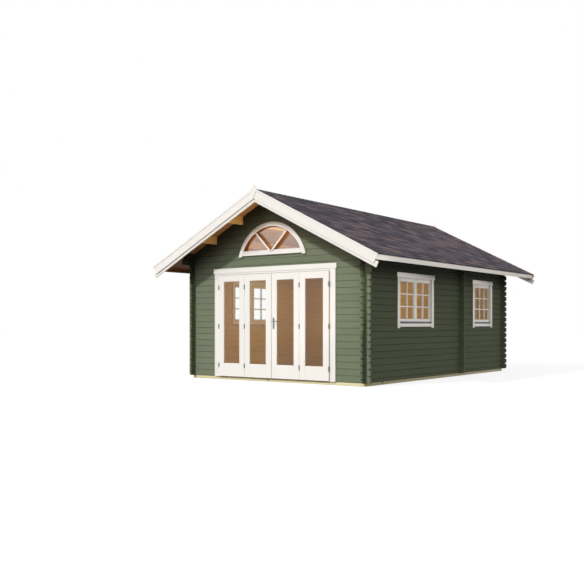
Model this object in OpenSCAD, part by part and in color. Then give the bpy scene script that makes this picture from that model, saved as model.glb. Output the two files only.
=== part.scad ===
// Log cabin with two rooms: walls of interlocking logs crossed at the corners, a glazed four-leaf folding
// door under an arched gable window, casement windows in the long walls and a shingled saddle roof.
// Front faces -Y, the long walls lie along Y, +Z is up. The origin is on the ground, under the middle.

/* [Walls] */
// Width over the outer faces of the long walls
cabin_w = 4000; // [3800:10:4400]
// Length over the outer faces of the front and back walls
cabin_l = 5950; // [5700:10:6400]
// Height of one log, from joint to joint
log_h = 117; // [114:1:120]
// Thickness of a log
log_t = 44; // [40:1:50]
// Bevel along the long edges of a log
log_bevel = 6.5; // [4:0.5:9]
// Width of the tongue on top of a log
tongue_w = 14; // [10:1:18]
// Height of the tongue on top of a log
tongue_h = 8; // [5:1:11]
// Reach of the log ends past the wall they cross
end_reach = 98; // [80:1:150]
// Length of the slope at the corners of a log end
end_slope_l = 42; // [25:1:50]
// Height of the slope at the corners of a log end
end_slope_h = 20; // [10:1:26]
// Reach of the bracket logs in front of the gable walls
bracket_reach = 318; // [250:1:400]
// Radius of the lower corner of a bracket log
bracket_r = 40; // [25:1:60]
// Distance from the front wall's outer face to the partition's front face
partition_y = 3705; // [3500:5:3800]

/* [Base and floor] */
// Height of the foundation beams
beam_h = 55; // [45:1:90]
// Width of the foundation beams
beam_w = 70; // [50:1:90]
// Distance of the beams' outer faces behind the outer faces of the walls
beam_inset = 10; // [0:1:15]
// Width of a floor joist
joist_w = 45; // [35:1:60]
// Joists under the front room
front_joists = 5; // [3:1:7]
// Joists under the rear room
rear_joists = 3; // [1:1:5]
// Thickness of the floor boards
floor_t = 26; // [18:1:32]

/* [Roof] */
// Slope of the roof in degrees
pitch = 26.9; // [25:0.1:29]
// Height of the roof's underside over the walls' foot, at the long walls' outer faces
eave_h = 2380; // [2360:1:2395]
// Distance from a gable wall to the back of the outer bargeboards
overhang = 520; // [500:1:600]
// Half width of the roof over the fascias
eave_half = 2508; // [2480:1:2700]
// Thickness of the roof boards
deck_t = 19; // [16:1:28]
// Thickness of the shingle covering
shingle_t = 6; // [4:0.5:9]
// Reach of the shingles past the fascia
shingle_drip = 15; // [5:1:25]
// Width of each side of the ridge cap
cap_w = 150; // [100:1:180]
// Width of a purlin
purlin_w = 58; // [45:1:75]
// Height of a purlin at its face nearer the ridge
purlin_h = 149; // [130:1:170]
// Distance from the middle to the upper purlins
upper_purlin_x = 700; // [660:1:740]
// Distance from the middle to the lower purlins
lower_purlin_x = 1363; // [1330:1:1400]
// Height of the ridge purlin
ridge_purlin_h = 100; // [85:1:112]

/* [Roof edges] */
// Thickness of the bargeboards
barge_t = 24; // [18:1:28]
// Width of the outer bargeboards
barge_w = 165; // [140:1:190]
// Height of the outer bargeboards' top edge over the roof's underside
barge_rise = 38; // [34:1:60]
// Reach of the outer bargeboards past the fascias, at the height of the roof's underside
barge_extra = 34; // [20:1:60]
// Width of the inner bargeboards
inner_barge_w = 100; // [90:1:110]
// Reach of the inner bargeboards below the outer ones
inner_barge_drop = 51; // [40:1:70]
// Reach of the inner bargeboards past the ends of the outer ones
inner_barge_extra = 59; // [20:1:80]
// Width of the raised strip along the top of the outer bargeboards
strip_w = 30; // [20:1:50]
// Thickness of that strip
strip_t = 5; // [3:1:10]
// Height of the small point at the peak over the bargeboards' top edge
peak_h = 62; // [30:1:80]
// Half width of the foot of that point
peak_half = 75; // [50:1:100]
// Gap between the outer bargeboards at the peak
peak_gap = 8; // [3:1:12]
// Thickness of the eave fascia
fascia_t = 18; // [14:1:25]
// Height of the eave fascia
fascia_h = 93; // [70:1:100]

/* [Folding door] */
// Courses of logs beside the door, up to its head
door_courses = 17; // [16:1:17]
// Width of one leaf
leaf_w = 637; // [600:1:650]
// Thickness of a leaf
leaf_t = 44; // [38:1:50]
// Gap around each leaf
leaf_gap = 3; // [2:0.5:5]
// Reach of the leaves in front of the casing
leaf_proud = 19; // [10:1:25]
// Depth of the middle of the glass behind a leaf's face
leaf_glass_set = 16; // [15:1:24]
// Width of a leaf's upright stile
stile_w = 117; // [90:0.5:150]
// Height of a leaf's top rail
top_rail_h = 113; // [90:1:150]
// Height of a leaf's bottom rail
bottom_rail_h = 240; // [200:1:320]
// Thickness of the frame's jambs
jamb_t = 30; // [24:1:45]
// Height of the frame's head
door_head_h = 45; // [35:1:60]
// Depth of the closing lip behind leaves and sashes
lip_w = 12; // [8:1:18]
// Height of the threshold
threshold_h = 9; // [6:1:14]
// Reach of the threshold in front of the wall
threshold_reach = 16; // [5:1:25]
// Width of the door's casing boards
door_casing_w = 123; // [110:1:150]
// Top of the side casing over the walls' foot
door_casing_top = 1981; // [1975:1:1986]
// Height of the head casing board
door_head_casing_h = 93; // [80:1:110]
// Reach of a head casing past the side casings
head_reach = 24; // [15:1:40]
// Reach of a head casing in front of the side casings
head_proud = 6; // [3:1:12]
// Width of the strip that covers the joint of the middle leaves
cover_w = 46; // [36:1:60]
// Thickness of that strip
cover_t = 10; // [6:1:14]
// Reach of that strip over the third leaf
cover_lap = 10; // [6:1:16]

/* [Door fittings] */
// Height of a hinge
hinge_h = 85; // [70:1:110]
// Radius of a hinge barrel
hinge_r = 7; // [5:0.5:9]
// Width of each hinge plate
hinge_plate_w = 10; // [9:1:24]
// Thickness of a hinge plate
hinge_plate_t = 2; // [1.5:0.1:3]
// Height of the lowest hinges' middles over the walls' foot
hinge_low = 222; // [150:1:300]
// Height of the middle hinges' middles over the walls' foot
hinge_mid = 965; // [900:1:1030]
// Height of the highest hinges' middles over the walls' foot
hinge_high = 1708; // [1600:1:1780]
// Width of the handle plate
plate_w = 32; // [26:1:40]
// Height of the handle plate
plate_h = 210; // [180:1:240]
// Thickness of the handle plate
plate_t = 7; // [5:0.5:10]
// Height of the handle plate's middle over the walls' foot
plate_z = 1021; // [950:1:1080]
// Height of the lever over the plate's middle
lever_rise = 37; // [20:1:50]
// Length of the lever
lever_l = 112; // [90:1:130]
// Radius of the lever
lever_r = 8; // [6:0.5:10]
// Reach of the lever's neck
lever_neck = 42; // [34:1:52]

/* [Arched window] */
// Courses of logs below the arched window
arch_courses = 20; // [19:1:20]
// Depth of the arch's centre below the window's foot
arch_drop = 255; // [230:1:280]
// Radius of the glass
arch_r = 709; // [680:1:730]
// Width of the frame around the glass
arch_frame_w = 36; // [28:1:44]
// Width of the arched casing
arch_casing_w = 80; // [70:1:100]
// Thickness of the arched casing
arch_casing_t = 40; // [24:1:46]
// Overlap of the casing on the frame
arch_casing_lap = 23; // [14:1:26]
// Reach of the casing's feet below the window's foot
arch_foot = 71; // [50:1:90]
// Height of the casing's bottom board
arch_board_h = 87; // [70:1:95]
// Reach of the bottom board over the window's foot
arch_board_rise = 36; // [28:1:44]

/* [Side windows] */
// Courses of logs below a side window, counted in half logs
sill_half_courses = 17; // [15:2:17]
// Courses of logs beside a side window
window_courses = 8; // [7:1:8]
// Clear width of the double window
double_w = 1246; // [1100:1:1350]
// Distance from the front wall's outer face to the middle of the double window
double_y = 1799; // [1680:1:1880]
// Clear width of the single window
single_w = 840; // [700:1:900]
// Distance from the front wall's outer face to the middle of the single window
single_y = 4823; // [4750:1:4880]
// Width of a window frame's sides
frame_w = 40; // [32:1:48]
// Depth of a window frame
frame_d = 66; // [62:1:76]
// Height of a window frame's foot
frame_foot_h = 59; // [50:1:66]
// Height of a window frame's head
frame_head_h = 83; // [75:1:92]
// Thickness of a sash
sash_t = 44; // [40:1:48]
// Depth of a sash's face behind the wall's outer face
sash_set = 6; // [4:1:10]
// Depth of the middle of the glass behind a sash's face
sash_glass_set = 34; // [20:1:35]
// Width of a sash's stiles
sash_stile = 48; // [40:1:56]
// Height of a sash's bottom rail
sash_bottom = 45; // [40:1:60]
// Height of a sash's top rail
sash_top = 55; // [45:1:65]
// Width of a window's casing boards
casing_w = 86; // [75:1:100]
// Thickness of the casing boards
casing_t = 18; // [12:1:24]
// Overlap of the head casing on the frame's head
head_lap = 72; // [60:1:74]
// Height of a window's head casing
head_casing_h = 88; // [75:1:100]
// Distance of the sill board's top edge over the opening's foot
sill_rise = 24; // [10:1:30]
// Height of the sill board
sill_h = 59; // [45:1:70]
// Reach of the side casings below the sill board
foot_reach = 25; // [15:1:40]
// Height of the drip rail above the sill board
drip_h = 32; // [24:1:36]
// Thickness of the drip rail
drip_t = 16; // [10:1:18]

/* [Inner doorway] */
// Clear width of the doorway in the partition
doorway_w = 820; // [700:10:950]
// Thickness of its lining
lining_t = 24; // [18:1:32]
// Reach of the lining past the partition's faces
lining_reach = 8; // [3:1:15]

/* [Hidden] */
$fn = 96;
// Clearance between pieces that seat on each other
fit = 0.3;
// Glass thickness and its depth in the groove around it
glass_t = 6;
glass_in = 10;
// Step of the moulding around the door glass
mould_w = 8;
mould_t = 8;
// Air over a tongue
tongue_air = 1;
// Lowest log that is still laid under the roof
least_log = 25;
// Spare length for cutters that pass right through
over = 50;

slope = tan(pitch);
front_y = -cabin_l / 2;
side_x = cabin_w / 2;
wall_z = beam_h;
eave_z = wall_z + eave_h;
ridge_z = eave_z + side_x * slope;
notch_h = log_h / 4;
groove_w = tongue_w + 2 * fit;
groove_h = tongue_h + tongue_air;
roof_half_l = cabin_l / 2 + overhang;
purlin_half_l = roof_half_l - barge_t;
barge_l = (eave_half + barge_extra) / cos(pitch);
side_courses = floor((eave_h + log_t * slope - least_log) / log_h + 0.5);
gable_courses = floor((ridge_z - wall_z - least_log) / log_h);
deck_rise = deck_t / cos(pitch);
shingle_rise = shingle_t / cos(pitch);
fit_rise = fit / cos(pitch);
door_half = (4 * leaf_w + 5 * leaf_gap) / 2;
door_top = door_courses * log_h;
door_in_top = door_top - fit - door_head_h;
leaf_z = wall_z + threshold_h + leaf_gap;
leaf_h = door_in_top - leaf_gap - threshold_h - leaf_gap;
casing_face = -casing_t - fit;
leaf_face = casing_face - leaf_proud;
leaf_back = leaf_face + leaf_t;
arch_z = wall_z + arch_courses * log_h;
arch_casing_r = arch_r + arch_frame_w - arch_casing_lap;
window_z = wall_z + sill_half_courses * log_h / 2;
window_h = window_courses * log_h;
sash_back = sash_set + sash_t;
sash_z = frame_foot_h + leaf_gap;
sash_h = window_h - frame_head_h - leaf_gap - sash_z;
drip_back = drip_t + 2 * fit;
log_green = "#5c6a57";
trim_white = "#efece6";
pine = "#c08a4e";
treated = "#d9cfa2";
shingle_grey = "#5b5158";
glass_blue = "#b9c4c4";
steel = "#77777a";

// Height of the roof's underside at a distance from the middle
function roof_z(x) = ridge_z - abs(x) * slope;

// A point of the right slope: distance down the slope, then height square to it
function on_slope(s, n) = [s * cos(pitch) + n * sin(pitch), ridge_z - s * sin(pitch) + n * cos(pitch)];

// Distance down the slope at which an edge of height n meets the middle plane
function meet(n) = -n * tan(pitch);

// The same point on the left slope
function flip(p) = [-p[0], p[1]];

// An outline in the X-Z plane, drawn out along Y
module along_y(y0, y1) {
    translate([0, y1, 0]) rotate([90, 0, 0]) linear_extrude(y1 - y0) children();
}

// An outline in the Y-Z plane, drawn out along X
module along_x(x0, x1) {
    translate([x0, 0, 0]) rotate([90, 0, 90]) linear_extrude(x1 - x0) children();
}

module box(x0, x1, y0, y1, z0, z1) {
    translate([x0, y0, z0]) cube([x1 - x0, y1 - y0, z1 - z0]);
}

// Everything below the roof's underside
module under_roof() {
    half = side_x + end_reach + over;
    along_y(-roof_half_l, roof_half_l)
        polygon([[-half, -over], [half, -over], [half, roof_z(half) - fit], [0, ridge_z - fit],
            [-half, roof_z(half) - fit]]);
}

// Cross section of a log: bevelled edges, tongue on top, groove below
module log_section(z0, z1, grooved) {
    a = (log_t - groove_w) / 2;
    b = (log_t - tongue_w) / 2;
    groove = [[a, z0], [a, z0 + groove_h], [log_t - a, z0 + groove_h], [log_t - a, z0]];
    polygon(concat([[0, z0 + log_bevel], [log_bevel, z0]], grooved ? groove : [],
        [[log_t - log_bevel, z0], [log_t, z0 + log_bevel], [log_t, z1 - log_bevel], [log_t - log_bevel, z1],
        [log_t - b, z1], [log_t - b, z1 + tongue_h], [b, z1 + tongue_h], [b, z1], [log_bevel, z1],
        [0, z1 - log_bevel]]));
}

// Long elevation of a log: sloped end corners, and a notch above and below at each wall that it crosses
module log_outline(u0, u1, z0, z1, laps, low_notch) {
    top = z1 + tongue_h;
    low = low_notch ? z0 + notch_h : z0;
    bottom_line = [for (lap = laps) each [[lap[0], z0], [lap[0], low], [lap[1], low], [lap[1], z0]]];
    top_line = [for (i = [len(laps) - 1:-1:0]) each [[laps[i][1], top], [laps[i][1], z1 - notch_h],
        [laps[i][0], z1 - notch_h], [laps[i][0], top]]];
    polygon(concat([[u0, z0 + end_slope_h], [u0 + end_slope_l, z0]], low_notch ? bottom_line : [],
        [[u1 - end_slope_l, z0], [u1, z0 + end_slope_h], [u1, z1 - end_slope_h], [u1 - end_slope_l, z1],
        [u1 - end_slope_l, top]], top_line,
        [[u0 + end_slope_l, top], [u0 + end_slope_l, z1], [u0, z1 - end_slope_h]]));
}

// One log along X, its outer face on Y = 0
module crossing_log(u0, u1, z0, z1, laps, first) {
    intersection() {
        along_x(u0 - over, u1 + over) log_section(z0, z1, !first);
        along_y(-over, log_t + over) log_outline(u0, u1, z0, z1, laps, z1 - z0 > 3 * notch_h);
    }
}

// Room for the purlins in a gable wall
module purlin_notches() {
    along_y(-over, log_t + over) {
        for (x = [upper_purlin_x, lower_purlin_x], side = [-1, 1])
            translate([side * (x + purlin_w / 2) - purlin_w / 2 - fit, roof_z(x) - purlin_h - fit])
                square([purlin_w + 2 * fit, 2 * purlin_h]);
        translate([-purlin_w / 2 - fit, ridge_z - ridge_purlin_h - fit])
            square([purlin_w + 2 * fit, 2 * ridge_purlin_h]);
    }
}

// A gable wall of full logs, its outer face on Y = 0; the children are cut out of it
module gable_wall() {
    laps = [[-side_x - fit, -side_x + log_t + fit], [side_x - log_t - fit, side_x + fit]];
    for (k = [0:gable_courses]) {
        z0 = wall_z + k * log_h + fit / 2;
        z1 = wall_z + (k + 1) * log_h - fit / 2;
        crosses = z0 + log_h / 2 < roof_z(side_x + end_reach);
        half = crosses ? side_x + end_reach : side_x + end_slope_l + over;
        difference() {
            intersection() {
                crossing_log(-half, half, z0, z1, laps, k == 0);
                if (!crosses) box(-side_x, side_x, -over, log_t + over, 0, 2 * ridge_z);
                under_roof();
            }
            if (z1 + tongue_h > roof_z(lower_purlin_x) - purlin_h) purlin_notches();
            children();
        }
    }
}

// A long wall, starting on a half log, its outer face on X = side_x; the top two logs run out as brackets
module long_wall() {
    laps = [for (y = [front_y, front_y + partition_y, -front_y - log_t]) [y - fit, y + log_t + fit]];
    for (j = [0:side_courses]) {
        z0 = wall_z + max(0, (j - 0.5) * log_h) + fit / 2;
        z1 = wall_z + (j + 0.5) * log_h - fit / 2;
        bracket = j >= side_courses - 1;
        half = cabin_l / 2 + (bracket ? bracket_reach : end_reach);
        difference() {
            intersection() {
                translate([side_x, 0, 0]) rotate(90) crossing_log(-half, half, z0, z1, laps, j == 0);
                under_roof();
            }
            if (j == side_courses - 1) for (side = [-1, 1]) bracket_corner(side * half, z0, side);
            window_openings();
        }
    }
}

// What is cut away to round the lower corner of a bracket log
module bracket_corner(y, z, side) {
    difference() {
        box(side_x - log_t - over, side_x + over, min(y - side * bracket_r, y + side * over),
            max(y - side * bracket_r, y + side * over), z - over, z + bracket_r);
        translate([side_x, y - side * bracket_r, z + bracket_r]) rotate([0, 90, 0])
            cylinder(r = bracket_r, h = 4 * over + 2 * log_t, center = true);
    }
}

module window_openings() {
    for (w = [[double_w, double_y], [single_w, single_y]])
        box(side_x - log_t - over, side_x + over, front_y + w[1] - w[0] / 2 - frame_w - fit,
            front_y + w[1] + w[0] / 2 + frame_w + fit, window_z, window_z + window_h);
}

module door_opening() {
    box(-door_half - jamb_t - fit, door_half + jamb_t + fit, -over, log_t + over, -over, wall_z + door_top);
}

// The arched window's outline for a radius, above a line at a height over the window's foot
module arch_shape(r, rise) {
    translate([0, arch_z]) intersection() {
        translate([0, -arch_drop]) circle(r);
        translate([-r, rise]) square([2 * r, r]);
    }
}

module arch_opening() {
    along_y(-over, log_t + over) arch_shape(arch_r + arch_frame_w + fit, 0);
}

module doorway_opening() {
    box(-doorway_w / 2 - lining_t - fit, doorway_w / 2 + lining_t + fit, -over, log_t + over, -over,
        wall_z + door_top);
}

module front_wall() {
    color(log_green) translate([0, front_y, 0]) gable_wall() {
        door_opening();
        arch_opening();
    }
}

module back_wall() {
    color(log_green) rotate(180) translate([0, front_y, 0]) gable_wall();
}

module partition_wall() {
    color(log_green) translate([0, front_y + partition_y, 0]) gable_wall() doorway_opening();
}

module right_wall() {
    color(log_green) long_wall();
}

module left_wall() {
    color(log_green) mirror([1, 0, 0]) long_wall();
}

module partition_door_lining() {
    y0 = front_y + partition_y - lining_reach;
    half = doorway_w / 2 + lining_t;
    color(pine) difference() {
        box(-half, half, y0, y0 + log_t + 2 * lining_reach, wall_z + floor_t + fit, wall_z + door_top - fit);
        box(-doorway_w / 2, doorway_w / 2, y0 - over, y0 + log_t + over, 0, wall_z + door_top - fit - lining_t);
    }
}

module foundation_side_beams() {
    x1 = side_x - beam_inset;
    y1 = cabin_l / 2 - beam_inset;
    color(treated) for (side = [0, 1]) mirror([side, 0, 0]) box(x1 - beam_w, x1, -y1, y1, 0, beam_h);
}

// A beam or joist across the cabin, between the side beams
module cross_beam(y, w) {
    half = side_x - beam_inset - beam_w - fit;
    box(-half, half, y - w / 2, y + w / 2, 0, beam_h);
}

module foundation_cross_beams() {
    edge = cabin_l / 2 - beam_inset - beam_w / 2;
    mid = front_y + partition_y + log_t / 2;
    color(treated) {
        for (y = [-edge, mid, edge]) cross_beam(y, beam_w);
        for (i = [1:front_joists]) cross_beam(-edge + (mid + edge) * i / (front_joists + 1), joist_w);
        for (i = [1:rear_joists]) cross_beam(mid + (edge - mid) * i / (rear_joists + 1), joist_w);
    }
}

module floor_boards() {
    half = side_x - log_t - fit;
    y1 = front_y + partition_y;
    color(pine) {
        box(-half, half, front_y + log_t + fit, y1 - fit, wall_z + fit, wall_z + floor_t);
        box(-half, half, y1 + log_t + fit, -front_y - log_t - fit, wall_z + fit, wall_z + floor_t);
        box(-doorway_w / 2, doorway_w / 2, y1, y1 + log_t, wall_z + fit, wall_z + floor_t);
    }
}

module ridge_purlin() {
    half = purlin_w / 2;
    z0 = ridge_z - ridge_purlin_h;
    color(pine) along_y(-purlin_half_l + fit, purlin_half_l - fit)
        polygon([[-half, z0], [half, z0], [half, roof_z(half) - fit], [0, ridge_z - fit],
            [-half, roof_z(half) - fit]]);
}

module purlin_pair(x) {
    z0 = roof_z(x) - purlin_h;
    x1 = x + purlin_w;
    color(pine) for (side = [0, 1]) mirror([side, 0, 0]) along_y(-purlin_half_l + fit, purlin_half_l - fit)
        polygon([[x, z0], [x1, z0], [x1, roof_z(x1) - fit], [x, roof_z(x) - fit]]);
}

module upper_purlins() {
    purlin_pair(upper_purlin_x);
}

module lower_purlins() {
    purlin_pair(lower_purlin_x);
}

// A layer of the right slope between two heights over the roof's underside, out to a half width
module roof_layer(rise0, rise1, half) {
    along_y(-roof_half_l + fit, roof_half_l - fit)
        polygon([[fit, roof_z(fit) + rise0], [half, roof_z(half) + rise0], [half, roof_z(half) + rise1],
            [fit, roof_z(fit) + rise1]]);
}

module right_roof_boards() {
    color(pine) roof_layer(0, deck_rise, eave_half - fascia_t - fit);
}

module left_roof_boards() {
    color(pine) mirror([1, 0, 0]) roof_layer(0, deck_rise, eave_half - fascia_t - fit);
}

module right_shingles() {
    color(shingle_grey)
        roof_layer(deck_rise + fit_rise, deck_rise + fit_rise + shingle_rise, eave_half + shingle_drip);
}

module left_shingles() {
    color(shingle_grey) mirror([1, 0, 0])
        roof_layer(deck_rise + fit_rise, deck_rise + fit_rise + shingle_rise, eave_half + shingle_drip);
}

module ridge_cap() {
    x1 = cap_w * cos(pitch);
    low = deck_rise + shingle_rise + 2 * fit_rise;
    high = low + shingle_rise;
    color(shingle_grey) along_y(-roof_half_l + fit, roof_half_l - fit)
        polygon([[0, ridge_z + low], [x1, roof_z(x1) + low], [x1, roof_z(x1) + high], [0, ridge_z + high],
            [-x1, roof_z(x1) + high], [-x1, roof_z(x1) + low]]);
}

// Outer bargeboards of the front gable; each end is cut square, and the left one rises in a point at the peak
module bargeboards() {
    low = barge_rise - barge_w;
    s0 = meet(low);
    edge = on_slope(s0, barge_rise);
    strip = barge_rise - strip_w;
    right = [on_slope(s0, low), edge, on_slope(barge_l, barge_rise), on_slope(barge_l, low)];
    right_strip = [on_slope(s0, strip), edge, on_slope(barge_l, barge_rise), on_slope(barge_l, strip)];
    top = ridge_z + barge_rise / cos(pitch);
    left = [on_slope(s0 - peak_gap, low), on_slope(s0 - peak_gap, barge_rise), [0, top + peak_h],
        [-peak_half, top - peak_half * slope], flip(on_slope(barge_l, barge_rise)), flip(on_slope(barge_l, low))];
    left_strip = [on_slope(peak_half, strip), on_slope(peak_half, barge_rise), on_slope(barge_l, barge_rise),
        on_slope(barge_l, strip)];
    y1 = -roof_half_l;
    along_y(y1 - barge_t, y1) polygon(right);
    along_y(y1 - barge_t - strip_t, y1 - barge_t) polygon(right_strip);
    along_y(y1 - barge_t, y1) polygon(left);
    along_y(y1 - barge_t - strip_t, y1 - barge_t)
        mirror([1, 0]) polygon(left_strip);
}

module front_bargeboards() {
    color(trim_white) bargeboards();
}

module back_bargeboards() {
    color(trim_white) rotate(180) bargeboards();
}

// Inner bargeboards of the front gable, mitred at the peak and nailed to the purlins' ends
module inner_bargeboards() {
    low = barge_rise - barge_w - inner_barge_drop;
    high = low + inner_barge_w;
    end = barge_l + inner_barge_extra;
    for (side = [0, 1]) mirror([side, 0, 0]) translate([fit / 2, 0, 0])
        along_y(-roof_half_l + fit, -roof_half_l + barge_t)
            polygon([on_slope(meet(low), low), on_slope(end, low), on_slope(end, high), on_slope(meet(high), high)]);
}

module front_inner_bargeboards() {
    color(trim_white) inner_bargeboards();
}

module back_inner_bargeboards() {
    color(trim_white) rotate(180) inner_bargeboards();
}

module eave_fascias() {
    x0 = eave_half - fascia_t;
    top = roof_z(eave_half) + deck_rise;
    color(trim_white) for (side = [0, 1]) mirror([side, 0, 0]) along_y(-roof_half_l + fit, roof_half_l - fit)
        polygon([[x0, top - fascia_h], [eave_half, top - fascia_h], [eave_half, top],
            [x0, roof_z(x0) + deck_rise]]);
}

module door_frame() {
    half = door_half + jamb_t;
    color(trim_white) translate([0, front_y, 0]) difference() {
        box(-half, half, 0, frame_d, wall_z + fit, wall_z + door_top - fit);
        box(-door_half, door_half, -over, leaf_back + fit, -over, wall_z + door_in_top);
        box(-door_half + lip_w, door_half - lip_w, -over, frame_d + over, -over, wall_z + door_in_top - lip_w);
        box(-door_half, door_half, -over, frame_d + over, -over, wall_z + threshold_h + fit);
        box(-half - over, half + over, log_t, frame_d + over, -over, wall_z + floor_t + fit);
    }
}

// Side boards, a strip over the leaves and a head board that reaches past them
module door_casing() {
    half = door_half + door_casing_w;
    z1 = wall_z + door_casing_top;
    color(trim_white) translate([0, front_y, 0]) {
        for (side = [0, 1]) mirror([side, 0, 0]) box(door_half, half, casing_face, -fit, wall_z, z1);
        box(-door_half + fit, door_half - fit, casing_face, -fit, wall_z + door_in_top, z1);
        box(-half - head_reach, half + head_reach, casing_face - head_proud, -fit, z1 + fit,
            z1 + door_head_casing_h);
    }
}

module door_threshold() {
    color(pine) translate([0, front_y, 0]) box(-door_half + fit, door_half - fit, -threshold_reach, log_t,
        wall_z + fit, wall_z + threshold_h);
}

// Middle of each door leaf, counted from the left
function leaf_x(i) = (i - 1.5) * (leaf_w + leaf_gap);

// One leaf: stiles and rails around a moulded opening, with a groove for the glass
module door_leaf(i) {
    x0 = leaf_x(i) - leaf_w / 2;
    x1 = leaf_x(i) + leaf_w / 2;
    z0 = leaf_z + bottom_rail_h;
    z1 = leaf_z + leaf_h - top_rail_h;
    mid = leaf_face + leaf_glass_set;
    groove = glass_t / 2 + fit;
    edge = glass_in + fit;
    color(trim_white) translate([0, front_y, 0]) difference() {
        box(x0, x1, leaf_face, leaf_back, leaf_z, leaf_z + leaf_h);
        box(x0 + stile_w, x1 - stile_w, leaf_face - over, leaf_back + over, z0, z1);
        box(x0 + stile_w - mould_w, x1 - stile_w + mould_w, leaf_face - over, leaf_face + mould_t, z0 - mould_w,
            z1 + mould_w);
        box(x0 + stile_w - edge, x1 - stile_w + edge, mid - groove, mid + groove, z0 - edge, z1 + edge);
    }
}

module door_leaf_1() {
    door_leaf(0);
}

// The second leaf carries the strip that covers the joint of the middle leaves
module door_leaf_2() {
    door_leaf(1);
    color(trim_white) translate([0, front_y, 0]) {
        box(cover_lap - cover_w, -leaf_gap / 2, leaf_face - cover_t, leaf_face, leaf_z, leaf_z + leaf_h);
        box(cover_lap - cover_w, cover_lap, leaf_face - cover_t, leaf_face - fit, leaf_z, leaf_z + leaf_h);
    }
}

module door_leaf_3() {
    door_leaf(2);
}

module door_leaf_4() {
    door_leaf(3);
}

module door_glass() {
    mid = leaf_face + leaf_glass_set;
    half = leaf_w / 2 - stile_w + glass_in;
    color(glass_blue) translate([0, front_y, 0]) for (i = [0:3])
        box(leaf_x(i) - half, leaf_x(i) + half, mid - glass_t / 2, mid + glass_t / 2,
            leaf_z + bottom_rail_h - glass_in, leaf_z + leaf_h - top_rail_h + glass_in);
}

// One surface hinge: a barrel, with a plate of its own width to the left and one to the right
module hinge(x, z, left_w, right_w) {
    y = leaf_face - fit;
    low = wall_z + z - hinge_h / 2;
    translate([x, y - hinge_r, low]) cylinder(r = hinge_r, h = hinge_h);
    box(x - left_w, x + right_w, y - hinge_plate_t, y, low, low + hinge_h);
}

// Two plates where two leaves meet; at a jamb only the one on the leaf shows
module door_hinges() {
    first = leaf_w + leaf_gap;
    color(steel) translate([0, front_y, 0]) for (side = [0, 1], z = [hinge_low, hinge_mid, hinge_high])
        mirror([side, 0, 0]) {
            hinge(first, z, hinge_plate_w, hinge_plate_w);
            hinge(2 * first, z, hinge_plate_w, 0);
        }
}

// Long plate with a lever, on the middle stile of the third leaf
module door_handle() {
    x = (leaf_gap + stile_w) / 2;
    y = front_y + leaf_face - fit;
    z = wall_z + plate_z;
    color(steel) {
        along_y(y - plate_t, y) translate([x, z]) {
            square([plate_w, plate_h - plate_w], center = true);
            for (side = [-1, 1]) translate([0, side * (plate_h - plate_w) / 2]) circle(d = plate_w);
        }
        translate([x, y, z + lever_rise]) rotate([90, 0, 0]) cylinder(r = lever_r, h = lever_neck + lever_r);
        translate([x, y - lever_neck, z + lever_rise]) rotate([0, 90, 0]) cylinder(r = lever_r, h = lever_l);
        translate([x + lever_l, y - lever_neck, z + lever_rise]) sphere(lever_r);
    }
}

module arch_window_frame() {
    mid = log_t / 2;
    color(pine) translate([0, front_y, 0]) difference() {
        along_y(fit, log_t) arch_shape(arch_r + arch_frame_w, fit);
        along_y(-over, log_t + over) arch_shape(arch_r, arch_frame_w);
        along_y(mid - glass_t / 2 - fit, mid + glass_t / 2 + fit)
            arch_shape(arch_r + glass_in + fit, arch_frame_w - glass_in - fit);
    }
}

module arch_window_casing() {
    low = arch_board_rise - arch_board_h;
    color(trim_white) translate([0, front_y, 0]) {
        along_y(-arch_casing_t - fit, -fit) difference() {
            arch_shape(arch_casing_r + arch_casing_w, -arch_foot);
            arch_shape(arch_casing_r, -arch_foot - over);
        }
        along_y(-arch_casing_t - fit, -fit) intersection() {
            arch_shape(arch_casing_r - fit, low);
            translate([-arch_r, arch_z + low]) square([2 * arch_r, arch_board_h]);
        }
    }
}

module arch_window_glass() {
    mid = front_y + log_t / 2;
    color(glass_blue) along_y(mid - glass_t / 2, mid + glass_t / 2)
        arch_shape(arch_r + glass_in, arch_frame_w - glass_in);
}

// Places a window, drawn with its outer face on Y = 0, in the right wall
module in_right_wall(y) {
    translate([side_x, front_y + y, window_z]) rotate(90) children();
}

module window_frame(w) {
    half = w / 2 + frame_w;
    top = window_h - frame_head_h;
    difference() {
        box(-half, half, 0, frame_d, fit, window_h - fit);
        box(-w / 2, w / 2, -over, sash_back + fit, frame_foot_h, top);
        box(-w / 2, w / 2, -over, drip_back + fit, -over, frame_foot_h + fit);
        box(-w / 2 + lip_w, w / 2 - lip_w, -over, frame_d + over, frame_foot_h + lip_w, top - lip_w);
    }
}

// Width of one sash of a window with a number of sashes
function sash_w(w, count) = (w - (count + 1) * leaf_gap) / count;

// Middle of a sash
function sash_x(w, count, i) = -w / 2 + leaf_gap + sash_w(w, count) / 2 + i * (sash_w(w, count) + leaf_gap);

module window_sashes(w, count) {
    half = sash_w(w, count) / 2;
    mid = sash_set + sash_glass_set;
    groove = glass_t / 2 + fit;
    edge = glass_in + fit;
    z0 = sash_z + sash_bottom;
    z1 = sash_z + sash_h - sash_top;
    for (i = [0:count - 1]) translate([sash_x(w, count, i), 0, 0]) difference() {
        box(-half, half, sash_set, sash_back, sash_z, sash_z + sash_h);
        box(-half + sash_stile, half - sash_stile, -over, sash_back + over, z0, z1);
        box(-half + sash_stile - edge, half - sash_stile + edge, mid - groove, mid + groove, z0 - edge, z1 + edge);
    }
}

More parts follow.
